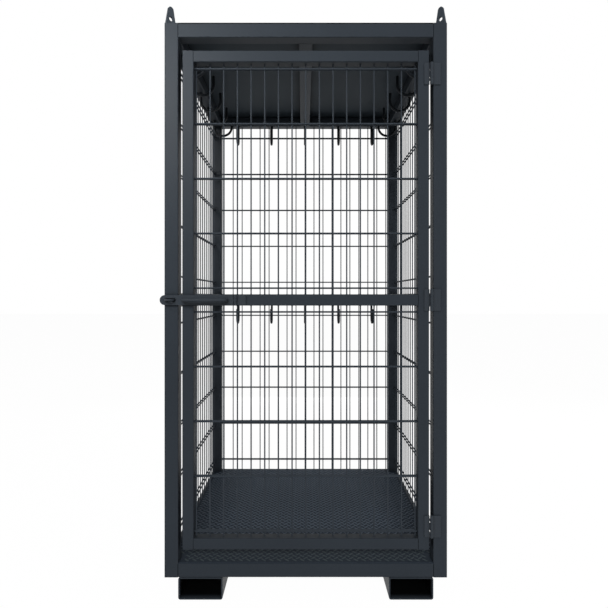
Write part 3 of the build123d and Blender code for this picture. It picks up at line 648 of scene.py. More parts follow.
class MeshStock:
    """Gathers grids of points and turns them into one mesh object."""

    def __init__(self) -> None:
        """Starts with nothing."""
        self.points: list[np.ndarray] = []
        self.faces: list[list[int]] = []
        self.count = 0

    def _grid(self, rings: np.ndarray, closed: bool) -> np.ndarray:
        """Adds the quads of grids whose last direction but one closes on itself.

        Args:
            rings: points as grids x rings x sides x 3, the sides anticlockwise about the rings' direction.
            closed: whether the last ring joins the first.

        Returns:
            The index of each point, grids x rings x sides.
        """
        index = self.count + np.arange(rings[..., 0].size).reshape(rings.shape[:3])
        self.points.append(rings.reshape(-1, 3))
        self.count += index.size
        start = index if closed else index[:, :-1]
        after = np.roll(index, -1, axis=1) if closed else index[:, 1:]
        quads = np.stack([start, np.roll(start, -1, axis=2), np.roll(after, -1, axis=2), after], axis=-1)
        self.faces += quads.reshape(-1, 4).tolist()
        return index

    def add_bars(self, rings: np.ndarray) -> None:
        """Adds bars with a flat face over each end, from points as bars x rings x sides x 3."""
        index = self._grid(rings, closed=False)
        self.faces += index[:, 0, ::-1].tolist() + index[:, -1].tolist()

    def add_loops(self, rings: np.ndarray) -> None:
        """Adds closed loops, from points as loops x rings x sides x 3."""
        self._grid(rings, closed=True)

    def make(self, name: str, body: Body, slot: Slot, finish: bpy.types.Material, *stands_for: str) -> None:
        """Makes the object, sets it on its body and reports it.

        Args:
            name: the piece's name.
            body: the CAD body that it rides on.
            slot: the record's material slot that its finish belongs to; not used.
            finish: its material.
            stands_for: the CAD nodes that it replaces.
        """
        mesh = bpy.data.meshes.new(name)
        mesh.from_pydata(np.concatenate(self.points).tolist(), [], self.faces)
        mesh.shade_smooth()
        mesh.set_sharp_from_angle(angle=FLAT_EDGE)
        mesh.materials.append(finish)
        piece = add_object(name, mesh)
        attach(piece, body.value)
        if stands_for:
            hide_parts(*stands_for)
        LOG.info("%s: %d points and %d faces on %s", name, self.count, len(self.faces), body.value)


# The pieces


@dataclass(frozen=True)
class CageSizes:
    """The sizes of the CAD's frame and door that several sub-assemblies share.

    Attributes:
        half: how far the posts' outer faces, and the door's front with them, are from the cage's middle.
        tube: the width of the frame's square tube.
        door_tube: the width of the door's.
        foot: the height of the fork pockets, on which the frame stands.
        middle: the height of the mid rails' middle and of the hasp's.
        top: the height of the top rails' upper faces.
        cap: the height of the posts' caps.
        stile: how far the stiles' inner faces are from the door's middle.
        door_rise: half the door's height.
    """

    half: float = 0.510
    tube: float = 0.050
    door_tube: float = 0.040
    foot: float = 0.080
    middle: float = 1.080
    top: float = 2.078
    cap: float = 2.080
    stile: float = 0.405
    door_rise: float = 0.900

    @property
    def inner(self) -> float:
        """How far the posts' inner faces are from the cage's middle."""
        return self.half - self.tube

    @property
    def rails(self) -> list[Span]:
        """The lower and the upper face of the frame's rails, from the lowest level up."""
        lows = (self.foot, self.middle - self.tube / 2.0, self.top - self.tube)
        return [(low, low + self.tube) for low in lows]

    @property
    def door_rails(self) -> list[Span]:
        """The lower and the upper face of the door's rails, from the lowest up."""
        lowest, highest = self.middle - self.door_rise, self.middle + self.door_rise
        lows = (lowest, self.middle - self.door_tube / 2.0, highest - self.door_tube)
        return [(low, low + self.door_tube) for low in lows]


CAGE = CageSizes()


@dataclass
class MeshPanel:
    """A panel of round wires between pairs of round rods, with a weld nugget at each crossing.

    Attributes:
        name: the piece's name.
        node: the CAD node that it replaces.
        body: the body that it rides on.
        run: the direction of its rods.
        plane: the place of the wires' middle on the other level axis.
        reach: half the length of its rods.
        low: the height of the wires' lower ends.
        high: the height of their upper ends.
        rows: the heights of the rods.
        wires: how many wires it has, a pitch apart about the middle.
        pitch: the distance between wires.
        wire: a wire's radius.
        rod: a rod's radius.
        flare: the radius of the weld at an end of a wire or rod.
        flare_length: the length of that weld.
        nugget: the radius of a weld nugget.
        nugget_half: half its thickness.
    """

    name: str
    node: str
    body: Body
    run: Run
    plane: float
    reach: float
    low: float
    high: float
    rows: list[float]
    wires: int
    pitch: float = 0.050
    wire: float = 0.0025
    rod: float = 0.0030
    flare: float = 0.0042
    flare_length: float = 0.0030
    nugget: float = 0.0031
    nugget_half: float = 0.0014

    def spots(self) -> np.ndarray:
        """Returns the places of the wires along the panel."""
        return spread_out(self.wires, self.pitch)

    def flared(self, low: float, high: float, radius: float) -> tuple[np.ndarray, np.ndarray]:
        """Returns the stations along a bar and its radius at each, wider in steps at both ends."""
        steps = np.array([0.0, 0.3, 1.0]) * self.flare_length
        swell = np.array([self.flare, (self.flare + radius) / 2.0, radius])
        return np.concatenate([low + steps, high - steps[::-1]]), np.concatenate([swell, swell[::-1]])

    def placed(self, along: np.ndarray, off: np.ndarray, up: np.ndarray) -> np.ndarray:
        """Turns places on the panel into rings.

        Where the panel runs along Y, the sides go the other way round, so that the faces stay outwards.

        Args:
            along: the points' places along the panel.
            off: their places across it.
            up: their heights.

        Returns:
            The rings, bars x n x sides x 3.
        """
        along, off, up = np.broadcast_arrays(along, off, up)
        if self.run is Run.X:
            return np.stack([along, off, up], axis=-1)
        return np.stack([off, along, up], axis=-1)[:, :, ::-1]

    def upright(self) -> np.ndarray:
        """Works out the wires.

        A point is (spot + r cos a, plane + r sin a, z), where r grows towards both ends.

        Returns:
            The wires' rings.
        """
        stations, radii = self.flared(self.low, self.high, self.wire)
        wheel = circle(sides=10)
        along = self.spots()[:, None, None] + radii[None, :, None] * wheel[:, 0]
        off = self.plane + radii[None, :, None] * wheel[:, 1]
        return self.placed(along, off, stations[None, :, None])

    def level(self) -> np.ndarray:
        """Works out the rods.

        A point is (s, plane ± (wire + rod) + r cos a, row + r sin a), where s runs from end to end.

        Returns:
            The rods' rings.
        """
        stations, radii = self.flared(-self.reach, self.reach, self.rod)
        wheel = circle(sides=12)
        sides, rows = np.meshgrid(SIDES, self.rows)
        middle = self.plane + sides.ravel()[:, None, None] * (self.wire + self.rod)
        off = middle + radii[None, :, None] * wheel[:, 0]
        up = rows.ravel()[:, None, None] + radii[None, :, None] * wheel[:, 1]
        return self.placed(stations[None, :, None], off, up)

    def nuggets(self) -> np.ndarray:
        """Works out the weld nuggets, each a small lens where a rod touches a wire.

        A point is (spot + r cos a, plane ± wire + t, row + r sin a), where r is the nugget's radius times
        0.4, 0.93, 0.93 and 0.4 as t goes through its thickness.

        Returns:
            The nuggets' rings.
        """
        wheel = circle(sides=8)
        radii = self.nugget * np.array([0.4, 0.93, 0.93, 0.4])
        through = self.nugget_half * np.array([1.0, 0.5, -0.5, -1.0])
        spots, sides, rows = np.meshgrid(self.spots(), SIDES, self.rows)
        along = spots.ravel()[:, None, None] + radii[None, :, None] * wheel[:, 0]
        off = self.plane + (sides.ravel()[:, None] * self.wire + through)[:, :, None]
        up = rows.ravel()[:, None, None] + radii[None, :, None] * wheel[:, 1]
        return self.placed(along, off, up)

    def build(self, finish: bpy.types.Material) -> None:
        """Makes the panel in its finish."""
        stock = MeshStock()
        for rings in (self.upright(), self.level(), self.nuggets()):
            stock.add_bars(rings)
        stock.make(self.name, self.body, Slot.MESH, finish, self.node)


@dataclass
class MeshWork:
    """All the mesh of the cage: a lower and an upper panel in each of three walls and in the door.

    Attributes:
        wall_plane: how far the wall wires' middle is from the cage's middle.
        wall_offset: the height from the mid rail's middle to the first wall rod.
        rear_wires: the wires in a rear panel.
        side_wires: the wires in a side panel.
        door_plane: the place of the door wires' middle on Y.
        door_offset: the height from the mid rail's middle to the first door rod.
        door_wires: the wires in a door panel.
        rod_pitch: the distance between rods.
        rods: the rods in a panel.
    """

    wall_plane: float = 0.498
    wall_offset: float = 0.092
    rear_wires: int = 19
    side_wires: int = 18
    door_plane: float = -0.4815
    door_offset: float = 0.0435
    door_wires: int = 17
    rod_pitch: float = 0.200
    rods: int = 5

    def halves(self, rails: list[Span], offset: float) -> dict[str, tuple[float, float, list[float]]]:
        """Works out where a lower and an upper panel stand.

        Args:
            rails: the lower and the upper face of the rails that they stand between.
            offset: the height from the mid rail's middle to the first rod.

        Returns:
            For each of the two its lower end, its upper end and the heights of its rods.
        """
        steps = [offset + self.rod_pitch * step for step in range(self.rods)]
        (_, floor), (under, over), (ceiling, _) = rails
        return {
            "lower": (floor, under, [CAGE.middle - step for step in steps]),
            "upper": (over, ceiling, [CAGE.middle + step for step in steps]),
        }

    def wall(self, side: str, run: Run, plane: float, wires: int) -> list[MeshPanel]:
        """Plans the panels of one wall.

        Args:
            side: which wall it is.
            run: the direction of its rods.
            plane: the place of its wires' middle.
            wires: how many wires each panel has.

        Returns:
            The lower and the upper panel.
        """
        return [
            MeshPanel(
                f"{side}_{part}_mesh", f"mesh_{side}_{part}", Body.FRAME, run, plane, CAGE.inner,
                low, high, rows, wires,
            )
            for part, (low, high, rows) in self.halves(CAGE.rails, self.wall_offset).items()
        ]

    def door(self) -> list[MeshPanel]:
        """Returns the door's lower and upper panel."""
        return [
            MeshPanel(
                f"door_{part}_round_mesh", f"door_mesh_{part}", Body.DOOR, Run.X, self.door_plane, CAGE.stile,
                low, high, rows, self.door_wires,
            )
            for part, (low, high, rows) in self.halves(CAGE.door_rails, self.door_offset).items()
        ]

    def build(self, finish: bpy.types.Material) -> None:
        """Makes every panel in its finish."""
        panels = self.wall("rear", Run.X, self.wall_plane, self.rear_wires)
        panels += self.wall("left", Run.Y, -self.wall_plane, self.side_wires)
        panels += self.wall("right", Run.Y, self.wall_plane, self.side_wires)
        for panel in panels + self.door():
            panel.build(finish)


@dataclass(frozen=True)
class WeldBead:
    """A rippled bead of weld.

    Attributes:
        size: its radius.
        ripple: the distance between ripples.
        trough: its radius between two ripples, as a share of the size.
        tip: its radius at an end, as a share of the size.
        sides: the sides of its section.
    """

    size: float
    ripple: float = 0.0030
    trough: float = 0.8
    tip: float = 0.45
    sides: int = 6

    def radii(self, count: int) -> np.ndarray:
        """Returns the radius at each point, in a trough and on a crest by turns."""
        return self.size * np.where(np.arange(count) % 2 == 0, self.trough, 1.0)

    def seam(self, start: Point, end: Point) -> np.ndarray:
        """Works out a straight bead: a circle of rippling radius carried along it, small at both ends.

        Args:
            start: its first point.
            end: its last point.

        Returns:
            Its rings, 1 x n x sides x 3.
        """
        path = straight_path(start, end, self.ripple / 2.0)
        radii = self.radii(len(path.points))
        radii[[0, -1]] = self.size * self.tip
        return path.bar(radii, self.sides)[None]

    def collar(self, centre: Point, normal: Point, radius: float) -> np.ndarray:
        """Works out a bead round a bar's foot.

        The ring's middle is the centre plus the radius times (u cos t + v sin t), and its section is a
        circle about that line whose radius ripples as a seam's does.

        Args:
            centre: the middle of the foot.
            normal: the bar's direction.
            radius: the bar's radius.

        Returns:
            Its rings, 1 x n x sides x 3.
        """
        axis = np.array(normal, float)
        u = -unit_across(axis)
        v = np.cross(axis, u)
        wheel = circle(2 * max(6, int(round(TURN * radius / self.ripple))))
        outward = wheel[:, :1] * u + wheel[:, 1:] * v
        path = Path(np.array(centre) + radius * outward, wheel[:, :1] * v - wheel[:, 1:] * u, axis)
        return path.bar(self.radii(len(wheel)), self.sides)[None]


HEAVY_BEAD = WeldBead(0.0030, ripple=0.0036)
FRAME_BEAD = WeldBead(0.0024)
HOOK_BEAD = WeldBead(0.0020)
DOOR_BEAD = WeldBead(0.0018)
FINE_BEAD = WeldBead(0.0016)


@dataclass
class HookRow:
    """A row of hooks of bent round bar under a rail, each with a weld collar at its foot.

    Attributes:
        name: the piece's name.
        node: the CAD node that it replaces.
        run: the direction of the row.
        foot: the place of the welded leg's middle across the row.
        inward: the way from the welded leg to the free one, 1 or -1.
        rail_under: the height of the rail's underside.
        bend: the bend's radius.
        drop: the height from the rail's underside to the lowest middle line.
        tip: the free leg's height above that line.
        radius: the bar's radius.
        pitch: the distance between hooks.
        count: the number of hooks.
        ease: the rounding of the free end.
    """

    name: str
    node: str
    run: Run
    foot: float
    inward: float
    rail_under: float
    bend: float
    drop: float
    tip: float
    radius: float = 0.006
    pitch: float = 0.183
    count: int = 5
    ease: float = 0.0018

    def build(self, finish: bpy.types.Material) -> None:
        """Makes the row: each hook is a circle carried down the leg, round the bend and up to its tip."""
        stock = MeshStock()
        across = scaled(REARWARD if self.run is Run.X else RIGHT, self.inward)
        width = 2.0 * self.bend
        corners = [(0.0, 0.0), (0.0, -self.drop), (width, -self.drop), (width, self.tip - self.drop)]
        for spot in spread_out(self.count, self.pitch):
            level = (spot, self.foot) if self.run is Run.X else (self.foot, spot)
            origin = (float(level[0]), float(level[1]), self.rail_under)
            path = bent_path(origin, across, UP, corners, self.bend, steps=12)
            path, radii = path.eased(self.radius, self.ease, start=False, end=True)
            stock.add_bars(path.bar(radii, sides=16)[None])
            stock.add_loops(HOOK_BEAD.collar(origin, UP, self.radius))
        stock.make(self.name, Body.FRAME, Slot.FITTING, finish, self.node)


@dataclass
class HookWork:
    """All the hooks: one row under each side rail, and two rows at the rear.

    Attributes:
        side_foot: how far the side hooks' welded legs are from the cage's middle.
        rear_foot: how far the rear hooks' are.
    """

    side_foot: float = 0.480
    rear_foot: float = 0.470

    def build(self, finish: bpy.types.Material) -> None:
        """Makes every row in its finish."""
        side = {"bend": 0.045, "drop": 0.082, "tip": 0.082}
        rear = {"bend": 0.030, "drop": 0.105, "tip": 0.075}
        _, (mid, _), (top, _) = CAGE.rails
        for name, way in (("left", -1.0), ("right", 1.0)):
            foot = way * self.side_foot
            row = HookRow(f"{name}_round_hooks", f"side_hooks_{name}", Run.Y, foot, -way, top, **side)
            row.build(finish)
        for name, under in (("upper", top), ("lower", mid)):
            names = (f"rear_{name}_round_hooks", f"rear_hooks_{name}")
            HookRow(*names, Run.X, self.rear_foot, -1.0, under, **rear).build(finish)


@dataclass
class HaspFittings:
    """The hasp's bow handle, the staple on the post and the welds that hold them.

    Attributes:
        height: the height of the hasp's middle.
        face: the place of the post's front on Y.
        plate_front: the place of the hasp plate's front on Y.
        handle_left: the handle's left leg on X.
        handle_right: its right leg on X.
        handle_stand: how far its grip stands off the plate.
        handle_bend: the radius of its bends.
        handle_radius: the radius of its bar.
        staple: the staple's middle on X.
        staple_half: half the distance between its legs.
        staple_leg: the straight length of its legs.
        staple_radius: the radius of its bar.
        base: the ends of the hasp's base on X.
        base_half: half its height.
        slot_left: the left end of the plate's slot as the photo shows it.
        slot_fill: how much farther left the slot ends in the CAD.
        slot_radius: the radius of its round end, a little over the slot's.
        slot_depth: the filling's front and back on Y, just under the plate's faces.
    """

    height: float = CAGE.middle
    face: float = -CAGE.half
    plate_front: float = -0.520
    handle_left: float = -0.436
    handle_right: float = -0.284
    handle_stand: float = 0.028
    handle_bend: float = 0.014
    handle_radius: float = 0.006
    staple: float = -0.487
    staple_half: float = 0.014
    staple_leg: float = 0.020
    staple_radius: float = 0.004
    base: Span = (-0.243, -0.217)
    base_half: float = 0.018
    slot_left: float = -0.507
    slot_fill: float = 0.0072
    slot_radius: float = 0.0066
    slot_depth: Span = (-0.5199, -0.5151)

    def handle(self, finish: bpy.types.Material) -> None:
        """Makes the handle: a circle carried out from the plate, along the grip and back."""
        stock = MeshStock()
        length = self.handle_right - self.handle_left
        corners = [(0.0, 0.0), (0.0, self.handle_stand), (length, self.handle_stand), (length, 0.0)]
        feet = [(x, self.plate_front, self.height) for x in (self.handle_left, self.handle_right)]
        path = bent_path(feet[0], RIGHT, FORWARD, corners, self.handle_bend, steps=10)
        stock.add_bars(path.bar(self.handle_radius, sides=20)[None])
        for foot in feet:
            stock.add_loops(HOOK_BEAD.collar(foot, FORWARD, self.handle_radius))
        stock.make("hasp_round_handle", Body.HASP, Slot.FITTING, finish, "hasp_handle")

    def eye(self, finish: bpy.types.Material) -> None:
        """Makes the staple: a circle carried out along one leg, round half a turn and back."""
        stock = MeshStock()
        out, width = self.staple_leg + self.staple_half, 2.0 * self.staple_half
        corners = [(0.0, 0.0), (0.0, out), (width, out), (width, 0.0)]
        feet = [(self.staple + side * self.staple_half, self.face, self.height) for side in SIDES]
        path = bent_path(feet[0], RIGHT, FORWARD, corners, self.staple_half, steps=10)
        stock.add_bars(path.bar(self.staple_radius, sides=16)[None])
        for foot in feet:
            stock.add_loops(FINE_BEAD.collar(foot, FORWARD, self.staple_radius))
        stock.make("padlock_staple", Body.FRAME, Slot.FITTING, finish, "hasp_staple")

    def slot_end(self, finish: bpy.types.Material) -> None:
        """Makes the filling at the slot's left end: a rectangle carried up between two arcs.

        At the angle a from -90 to 90 degrees its height is r sin a from the middle, its right side is at
        the slot's end plus r (1 - cos a), and its left side is farther left by the filling's width.
        """
        stock = MeshStock()
        angle = np.radians(np.linspace(-90.0, 90.0, 17))
        right = self.slot_left + self.slot_radius * (1.0 - np.cos(angle))
        left = right - self.slot_fill
        across = np.stack([left, right, right, left], axis=-1)
        up = np.broadcast_to((self.height + self.slot_radius * np.sin(angle))[:, None], across.shape)
        depth = np.broadcast_to(np.repeat(self.slot_depth, 2), across.shape)
        stock.add_bars(np.stack([across, depth, up], axis=-1)[None])
        stock.make("hasp_slot_end", Body.HASP, Slot.FITTING, finish)

    def base_welds(self, finish: bpy.types.Material) -> None:
        """Makes the weld beads above and below the hasp's base on the door."""
        stock = MeshStock()
        for side in SIDES:
            start, end = ((x, self.face, self.height + side * self.base_half) for x in self.base)
            stock.add_bars(FINE_BEAD.seam(start, end))
        stock.make("hasp_base_welds", Body.DOOR, Slot.FITTING, finish)

    def build(self, finish: bpy.types.Material) -> None:
        """Makes the hasp's pieces in their finish."""
        self.handle(finish)
        self.eye(finish)
        self.slot_end(finish)
        self.base_welds(finish)


@dataclass
class LiftingLugs:
    """Four tapered lugs with an eye, one on each post's cap along the diagonal.

    Attributes:
        centre: how far a lug stands from the cage's middle, on X and on Y.
        half_width: half a lug's width at its foot.
        top_radius: the radius of its rounded top.
        height: its height.
        half_thick: half its thickness.
        eye_radius: the eye's radius.
        eye_up: the eye's height above the cap.
        ease: the chamfer along its edges.
        steps: the points round its outline.
        weld_short: how much shorter a foot's weld is than the foot, at each end.
    """

    centre: float = 0.492
    half_width: float = 0.021
    top_radius: float = 0.011
    height: float = 0.0669
    half_thick: float = 0.004
    eye_radius: float = 0.0075
    eye_up: float = 0.022
    ease: float = 0.0008
    steps: int = 48
    weld_short: float = 0.001

    def outline(self) -> np.ndarray:
        """Works out the lug's outline as seen from its eye.

        For each direction from the eye it is the nearest of three things: the foot, the slanting side from
        the foot's corner to the shoulder, and the circle of the rounded top.

        Returns:
            Points across and up from the middle of the foot, steps x 2.
        """
        ray = circle(self.steps)
        eye = np.array([0.0, self.eye_up])
        shoulder = self.height - self.top_radius
        with np.errstate(divide="ignore"):
            to_foot = np.where(ray[:, 1] < -1e-9, -self.eye_up / ray[:, 1], np.inf)
        lean = self.half_width - self.top_radius
        side = np.array([shoulder, lean]) / math.hypot(shoulder, lean)
        slope = np.maximum(np.abs(ray[:, 0]) * side[0] + ray[:, 1] * side[1], 1e-9)
        to_side = (self.half_width * side[0] - self.eye_up * side[1]) / slope
        gap = eye - np.array([0.0, shoulder])
        half = ray @ gap
        to_top = -half + np.sqrt(np.maximum(half**2 - gap @ gap + self.top_radius**2, 0.0))
        straight = np.minimum(to_foot, to_side)
        reach = np.where(self.eye_up + straight * ray[:, 1] > shoulder, to_top, straight)
        return eye + reach[:, None] * ray

    def axes(self, side_x: float, side_y: float) -> tuple[np.ndarray, np.ndarray, np.ndarray]:
        """Works out how a lug stands.

        Args:
            side_x: which side of the cage it stands on, 1 or -1.
            side_y: which end, 1 for the rear and -1 for the door's.

        Returns:
            The middle of its foot, and the unit directions along the diagonal and through the lug.
        """
        base = np.array([side_x * self.centre, side_y * self.centre, CAGE.cap])
        diagonal = np.array([side_x, side_y, 0.0]) / math.sqrt(2.0)
        return base, diagonal, np.array([side_y, -side_x, 0.0]) / math.sqrt(2.0)

    def rings(self, side_x: float, side_y: float) -> np.ndarray:
        """Works out one lug as eight loops about its section.

        The loops are the outline and the eye, each at both faces, drawn in by the chamfer there and at
        full size a chamfer's depth inside them.

        Args:
            side_x: its side of the cage, as for axes().
            side_y: its end.

        Returns:
            Its rings, 1 x loops x steps x 3.
        """
        outline = self.outline()
        eye = np.array([0.0, self.eye_up])
        ray = circle(self.steps)
        spoke = outline - eye
        inner = outline - self.ease * spoke / np.linalg.norm(spoke, axis=1, keepdims=True)
        hole, flared = eye + self.eye_radius * ray, eye + (self.eye_radius + self.ease) * ray
        front, near = self.half_thick, self.half_thick - self.ease
        flat = np.stack([inner, outline, outline, inner, flared, hole, hole, flared])
        depth = np.array([front, near, -near, -front, -front, -near, near, front])[:, None]
        base, diagonal, through = self.axes(side_x, side_y)
        points = base + flat[..., :1] * diagonal + depth[..., None] * through
        points[..., 2] += flat[..., 1]
        return points[None, ::-1]

    def build(self, finish: bpy.types.Material) -> None:
        """Makes the lugs, with a weld bead along both sides of each foot."""
        stock = MeshStock()
        for side_x, side_y in CORNERS:
            stock.add_loops(self.rings(side_x, side_y))
            base, diagonal, through = self.axes(side_x, side_y)
            reach = diagonal * (self.half_width - self.weld_short)
            for way in SIDES:
                middle = base + way * through * self.half_thick
                stock.add_bars(HEAVY_BEAD.seam(tuple(middle - reach), tuple(middle + reach)))
        stock.make("lifting_eye_lugs", Body.FRAME, Slot.LIFTING, finish, "lifting_lugs")


@dataclass
class HingeFittings:
    """The heads of the hinge pins and the weld beads along the hinge leaves.

    Attributes:
        spread: how far the upper and the lower hinge are from the middle one.
        half: half a hinge's height.
        pin: the pins' place on X and Y.
        face: the place of the door's and posts' front on Y.
        post_edge: the outer edge of the leaf on the post.
        door_edge: the outer edge of the leaf on the door.
        weld_short: how much shorter a leaf's weld is than the leaf, at each end.
        head: the radius of a pin's head.
        head_rise: its height.
        head_sink: how deep it reaches into the knuckle.
    """

    spread: float = 0.815
    half: float = 0.039
    pin: tuple[float, float] = (0.4525, -0.516)
    face: float = -CAGE.half
    post_edge: float = 0.4855
    door_edge: float = 0.4275
    weld_short: float = 0.002
    head: float = 0.0048
    head_rise: float = 0.0026
    head_sink: float = 0.001

    def levels(self) -> list[float]:
        """Returns the heights of the hinges' middles."""
        return [CAGE.middle + way * self.spread for way in (-1.0, 0.0, 1.0)]

    def pin_heads(self, finish: bpy.types.Material) -> None:
        """Makes the domed pin heads: rings whose radius is the head's times cos b at a height of sin b."""
        stock = MeshStock()
        slope = np.radians([0.0, 0.0, 30.0, 55.0, 75.0])
        rise = self.head_rise * np.sin(slope)
        rise[0] = -self.head_sink
        level = self.pin + self.head * np.cos(slope)[:, None, None] * circle(sides=16)
        for middle in self.levels():
            for way in SIDES:
                up = middle + way * (self.half + rise[:, None, None])
                rings = np.concatenate([level, np.broadcast_to(up, (*level.shape[:2], 1))], axis=-1)
                stock.add_bars((rings if way > 0.0 else rings[:, ::-1])[None])
        stock.make("hinge_pin_heads", Body.FRAME, Slot.FITTING, finish)

    def leaf_welds(self, name: str, body: Body, edge: float, finish: bpy.types.Material) -> None:
        """Makes a weld bead down the outer edge of each leaf on one side."""
        stock = MeshStock()
        reach = self.half - self.weld_short
        for middle in self.levels():
            start, end = ((edge, self.face, middle + way * reach) for way in SIDES)
            stock.add_bars(DOOR_BEAD.seam(start, end))
        stock.make(name, body, Slot.FITTING, finish)

    def build(self, finish: bpy.types.Material) -> None:
        """Makes the hinges' small pieces in their finish."""
        self.pin_heads(finish)
        self.leaf_welds("hinge_post_welds", Body.FRAME, self.post_edge, finish)
        self.leaf_welds("hinge_door_welds", Body.DOOR, self.door_edge, finish)


@dataclass
class WeldSeams:
    """The weld seams where the frame's rails meet the posts and the door's rails meet its stiles.

    Attributes:
        clear: how far a seam stays from a tube's edge.
        pocket_near: the inner edge of a pocket's flat top on X.
        pocket_far: the outer edge.
    """

    clear: float = 0.005
    pocket_near: float = 0.308
    pocket_far: float = 0.452

    def rail_seams(self) -> list[np.ndarray]:
        """Works out the seams across the rails' upper and lower faces, at the posts.

        The top rails have none above, where the roof sheet lies, and there is no mid rail at the door.
        """
        near, far = CAGE.inner + self.clear, CAGE.half - self.clear
        made = []
        for level, faces in enumerate(CAGE.rails):
            for height in faces if level < 2 else faces[:1]:
                for side, end in CORNERS:
                    y = end * CAGE.inner
                    made.append(FRAME_BEAD.seam((side * near, y, height), (side * far, y, height)))
                    if side > 0.0 or level != 1:
                        start = (y, side * near, height)
                        made.append(FRAME_BEAD.seam(start, (y, side * far, height)))
        return made

    def corner_seams(self) -> list[np.ndarray]:
        """Works out the upright seams in the inner corners, where two rails meet at a post."""
        return [
            FRAME_BEAD.seam((x, y, low + self.clear), (x, y, high - self.clear))
            for low, high in CAGE.rails
            for x, y in (scaled(corner, CAGE.inner) for corner in CORNERS)
        ]

    def pocket_seams(self) -> list[np.ndarray]:
        """Works out the seams under the front and rear rails, along the pockets' tops."""
        return [
            HEAVY_BEAD.seam((side * self.pocket_near, y, CAGE.foot), (side * self.pocket_far, y, CAGE.foot))
            for side, y in ((side, end * CAGE.inner) for side, end in CORNERS)
        ]

    def door_seams(self) -> list[np.ndarray]:
        """Works out the seams across the door rails' upper and lower faces, at the stiles."""
        near, far = self.clear - CAGE.half, CAGE.door_tube - CAGE.half - self.clear
        faces = [height for rail in CAGE.door_rails for height in rail][1:-1]
        return [
            DOOR_BEAD.seam((side * CAGE.stile, near, height), (side * CAGE.stile, far, height))
            for side in SIDES
            for height in faces
        ]

    def build(self, finish: bpy.types.Material) -> None:
        """Makes the seams of the frame and of the door in their finish."""
        frame_seams = self.rail_seams() + self.corner_seams() + self.pocket_seams()
        for body, seams in ((Body.FRAME, frame_seams), (Body.DOOR, self.door_seams())):
            stock = MeshStock()
            for rings in seams:
                stock.add_bars(rings)
            stock.make(f"{body.value}_weld_seams", body, Slot.FRAME, finish)


@dataclass
class GrooveShadeStrips:
    """Dark strips in the grooves where a rail's end meets the rounded corner of a post or stile, as painted
    shade.

    Attributes:
        radius: the radius of the strip that fills a gap of the frame.
        door_radius: the radius of one of the door.
        under: how far a strip's surface lies below the face.
        pitch: the distance between the points of a strip.
    """

    radius: float = 0.0014
    door_radius: float = 0.0012
    under: float = 0.0002
    pitch: float = 0.012

    def strip(self, x: float, y: float, span: Span, radius: float) -> np.ndarray:
        """Works out an upright strip: a circle carried up a span, a little short of both its ends."""
        low, high = span
        path = straight_path((x, y, low + 2.0 * radius), (x, y, high - 2.0 * radius), self.pitch)
        return path.bar(radius, sides=8)[None]

    def frame_strips(self) -> list[np.ndarray]:
        """Works out the frame's strips, in the front and rear faces and in the side faces."""
        level = CAGE.inner + self.radius
        face = CAGE.half - self.radius - self.under
        made = []
        for row, span in enumerate(CAGE.rails):
            for side, end in CORNERS:
                if end > 0.0 or row != 1:
                    made.append(self.strip(side * level, end * face, span, self.radius))
                made.append(self.strip(side * face, end * level, span, self.radius))
        return made

    def door_strips(self) -> list[np.ndarray]:
        """Works out the door's strips, in its front face."""
        across = CAGE.stile + self.door_radius
        front = -CAGE.half + self.door_radius + self.under
        return [
            self.strip(side * across, front, span, self.door_radius)
            for span in CAGE.door_rails
            for side in SIDES
        ]

    def build(self, finish: bpy.types.Material) -> None:
        """Makes the painted-shade strips of the frame and of the door in their finish."""
        for body, strips in ((Body.FRAME, self.frame_strips()), (Body.DOOR, self.door_strips())):
            stock = MeshStock()
            for rings in strips:
                stock.add_bars(rings)
            stock.make(f"{body.value}_joint_groove_shade", body, Slot.FRAME, finish)


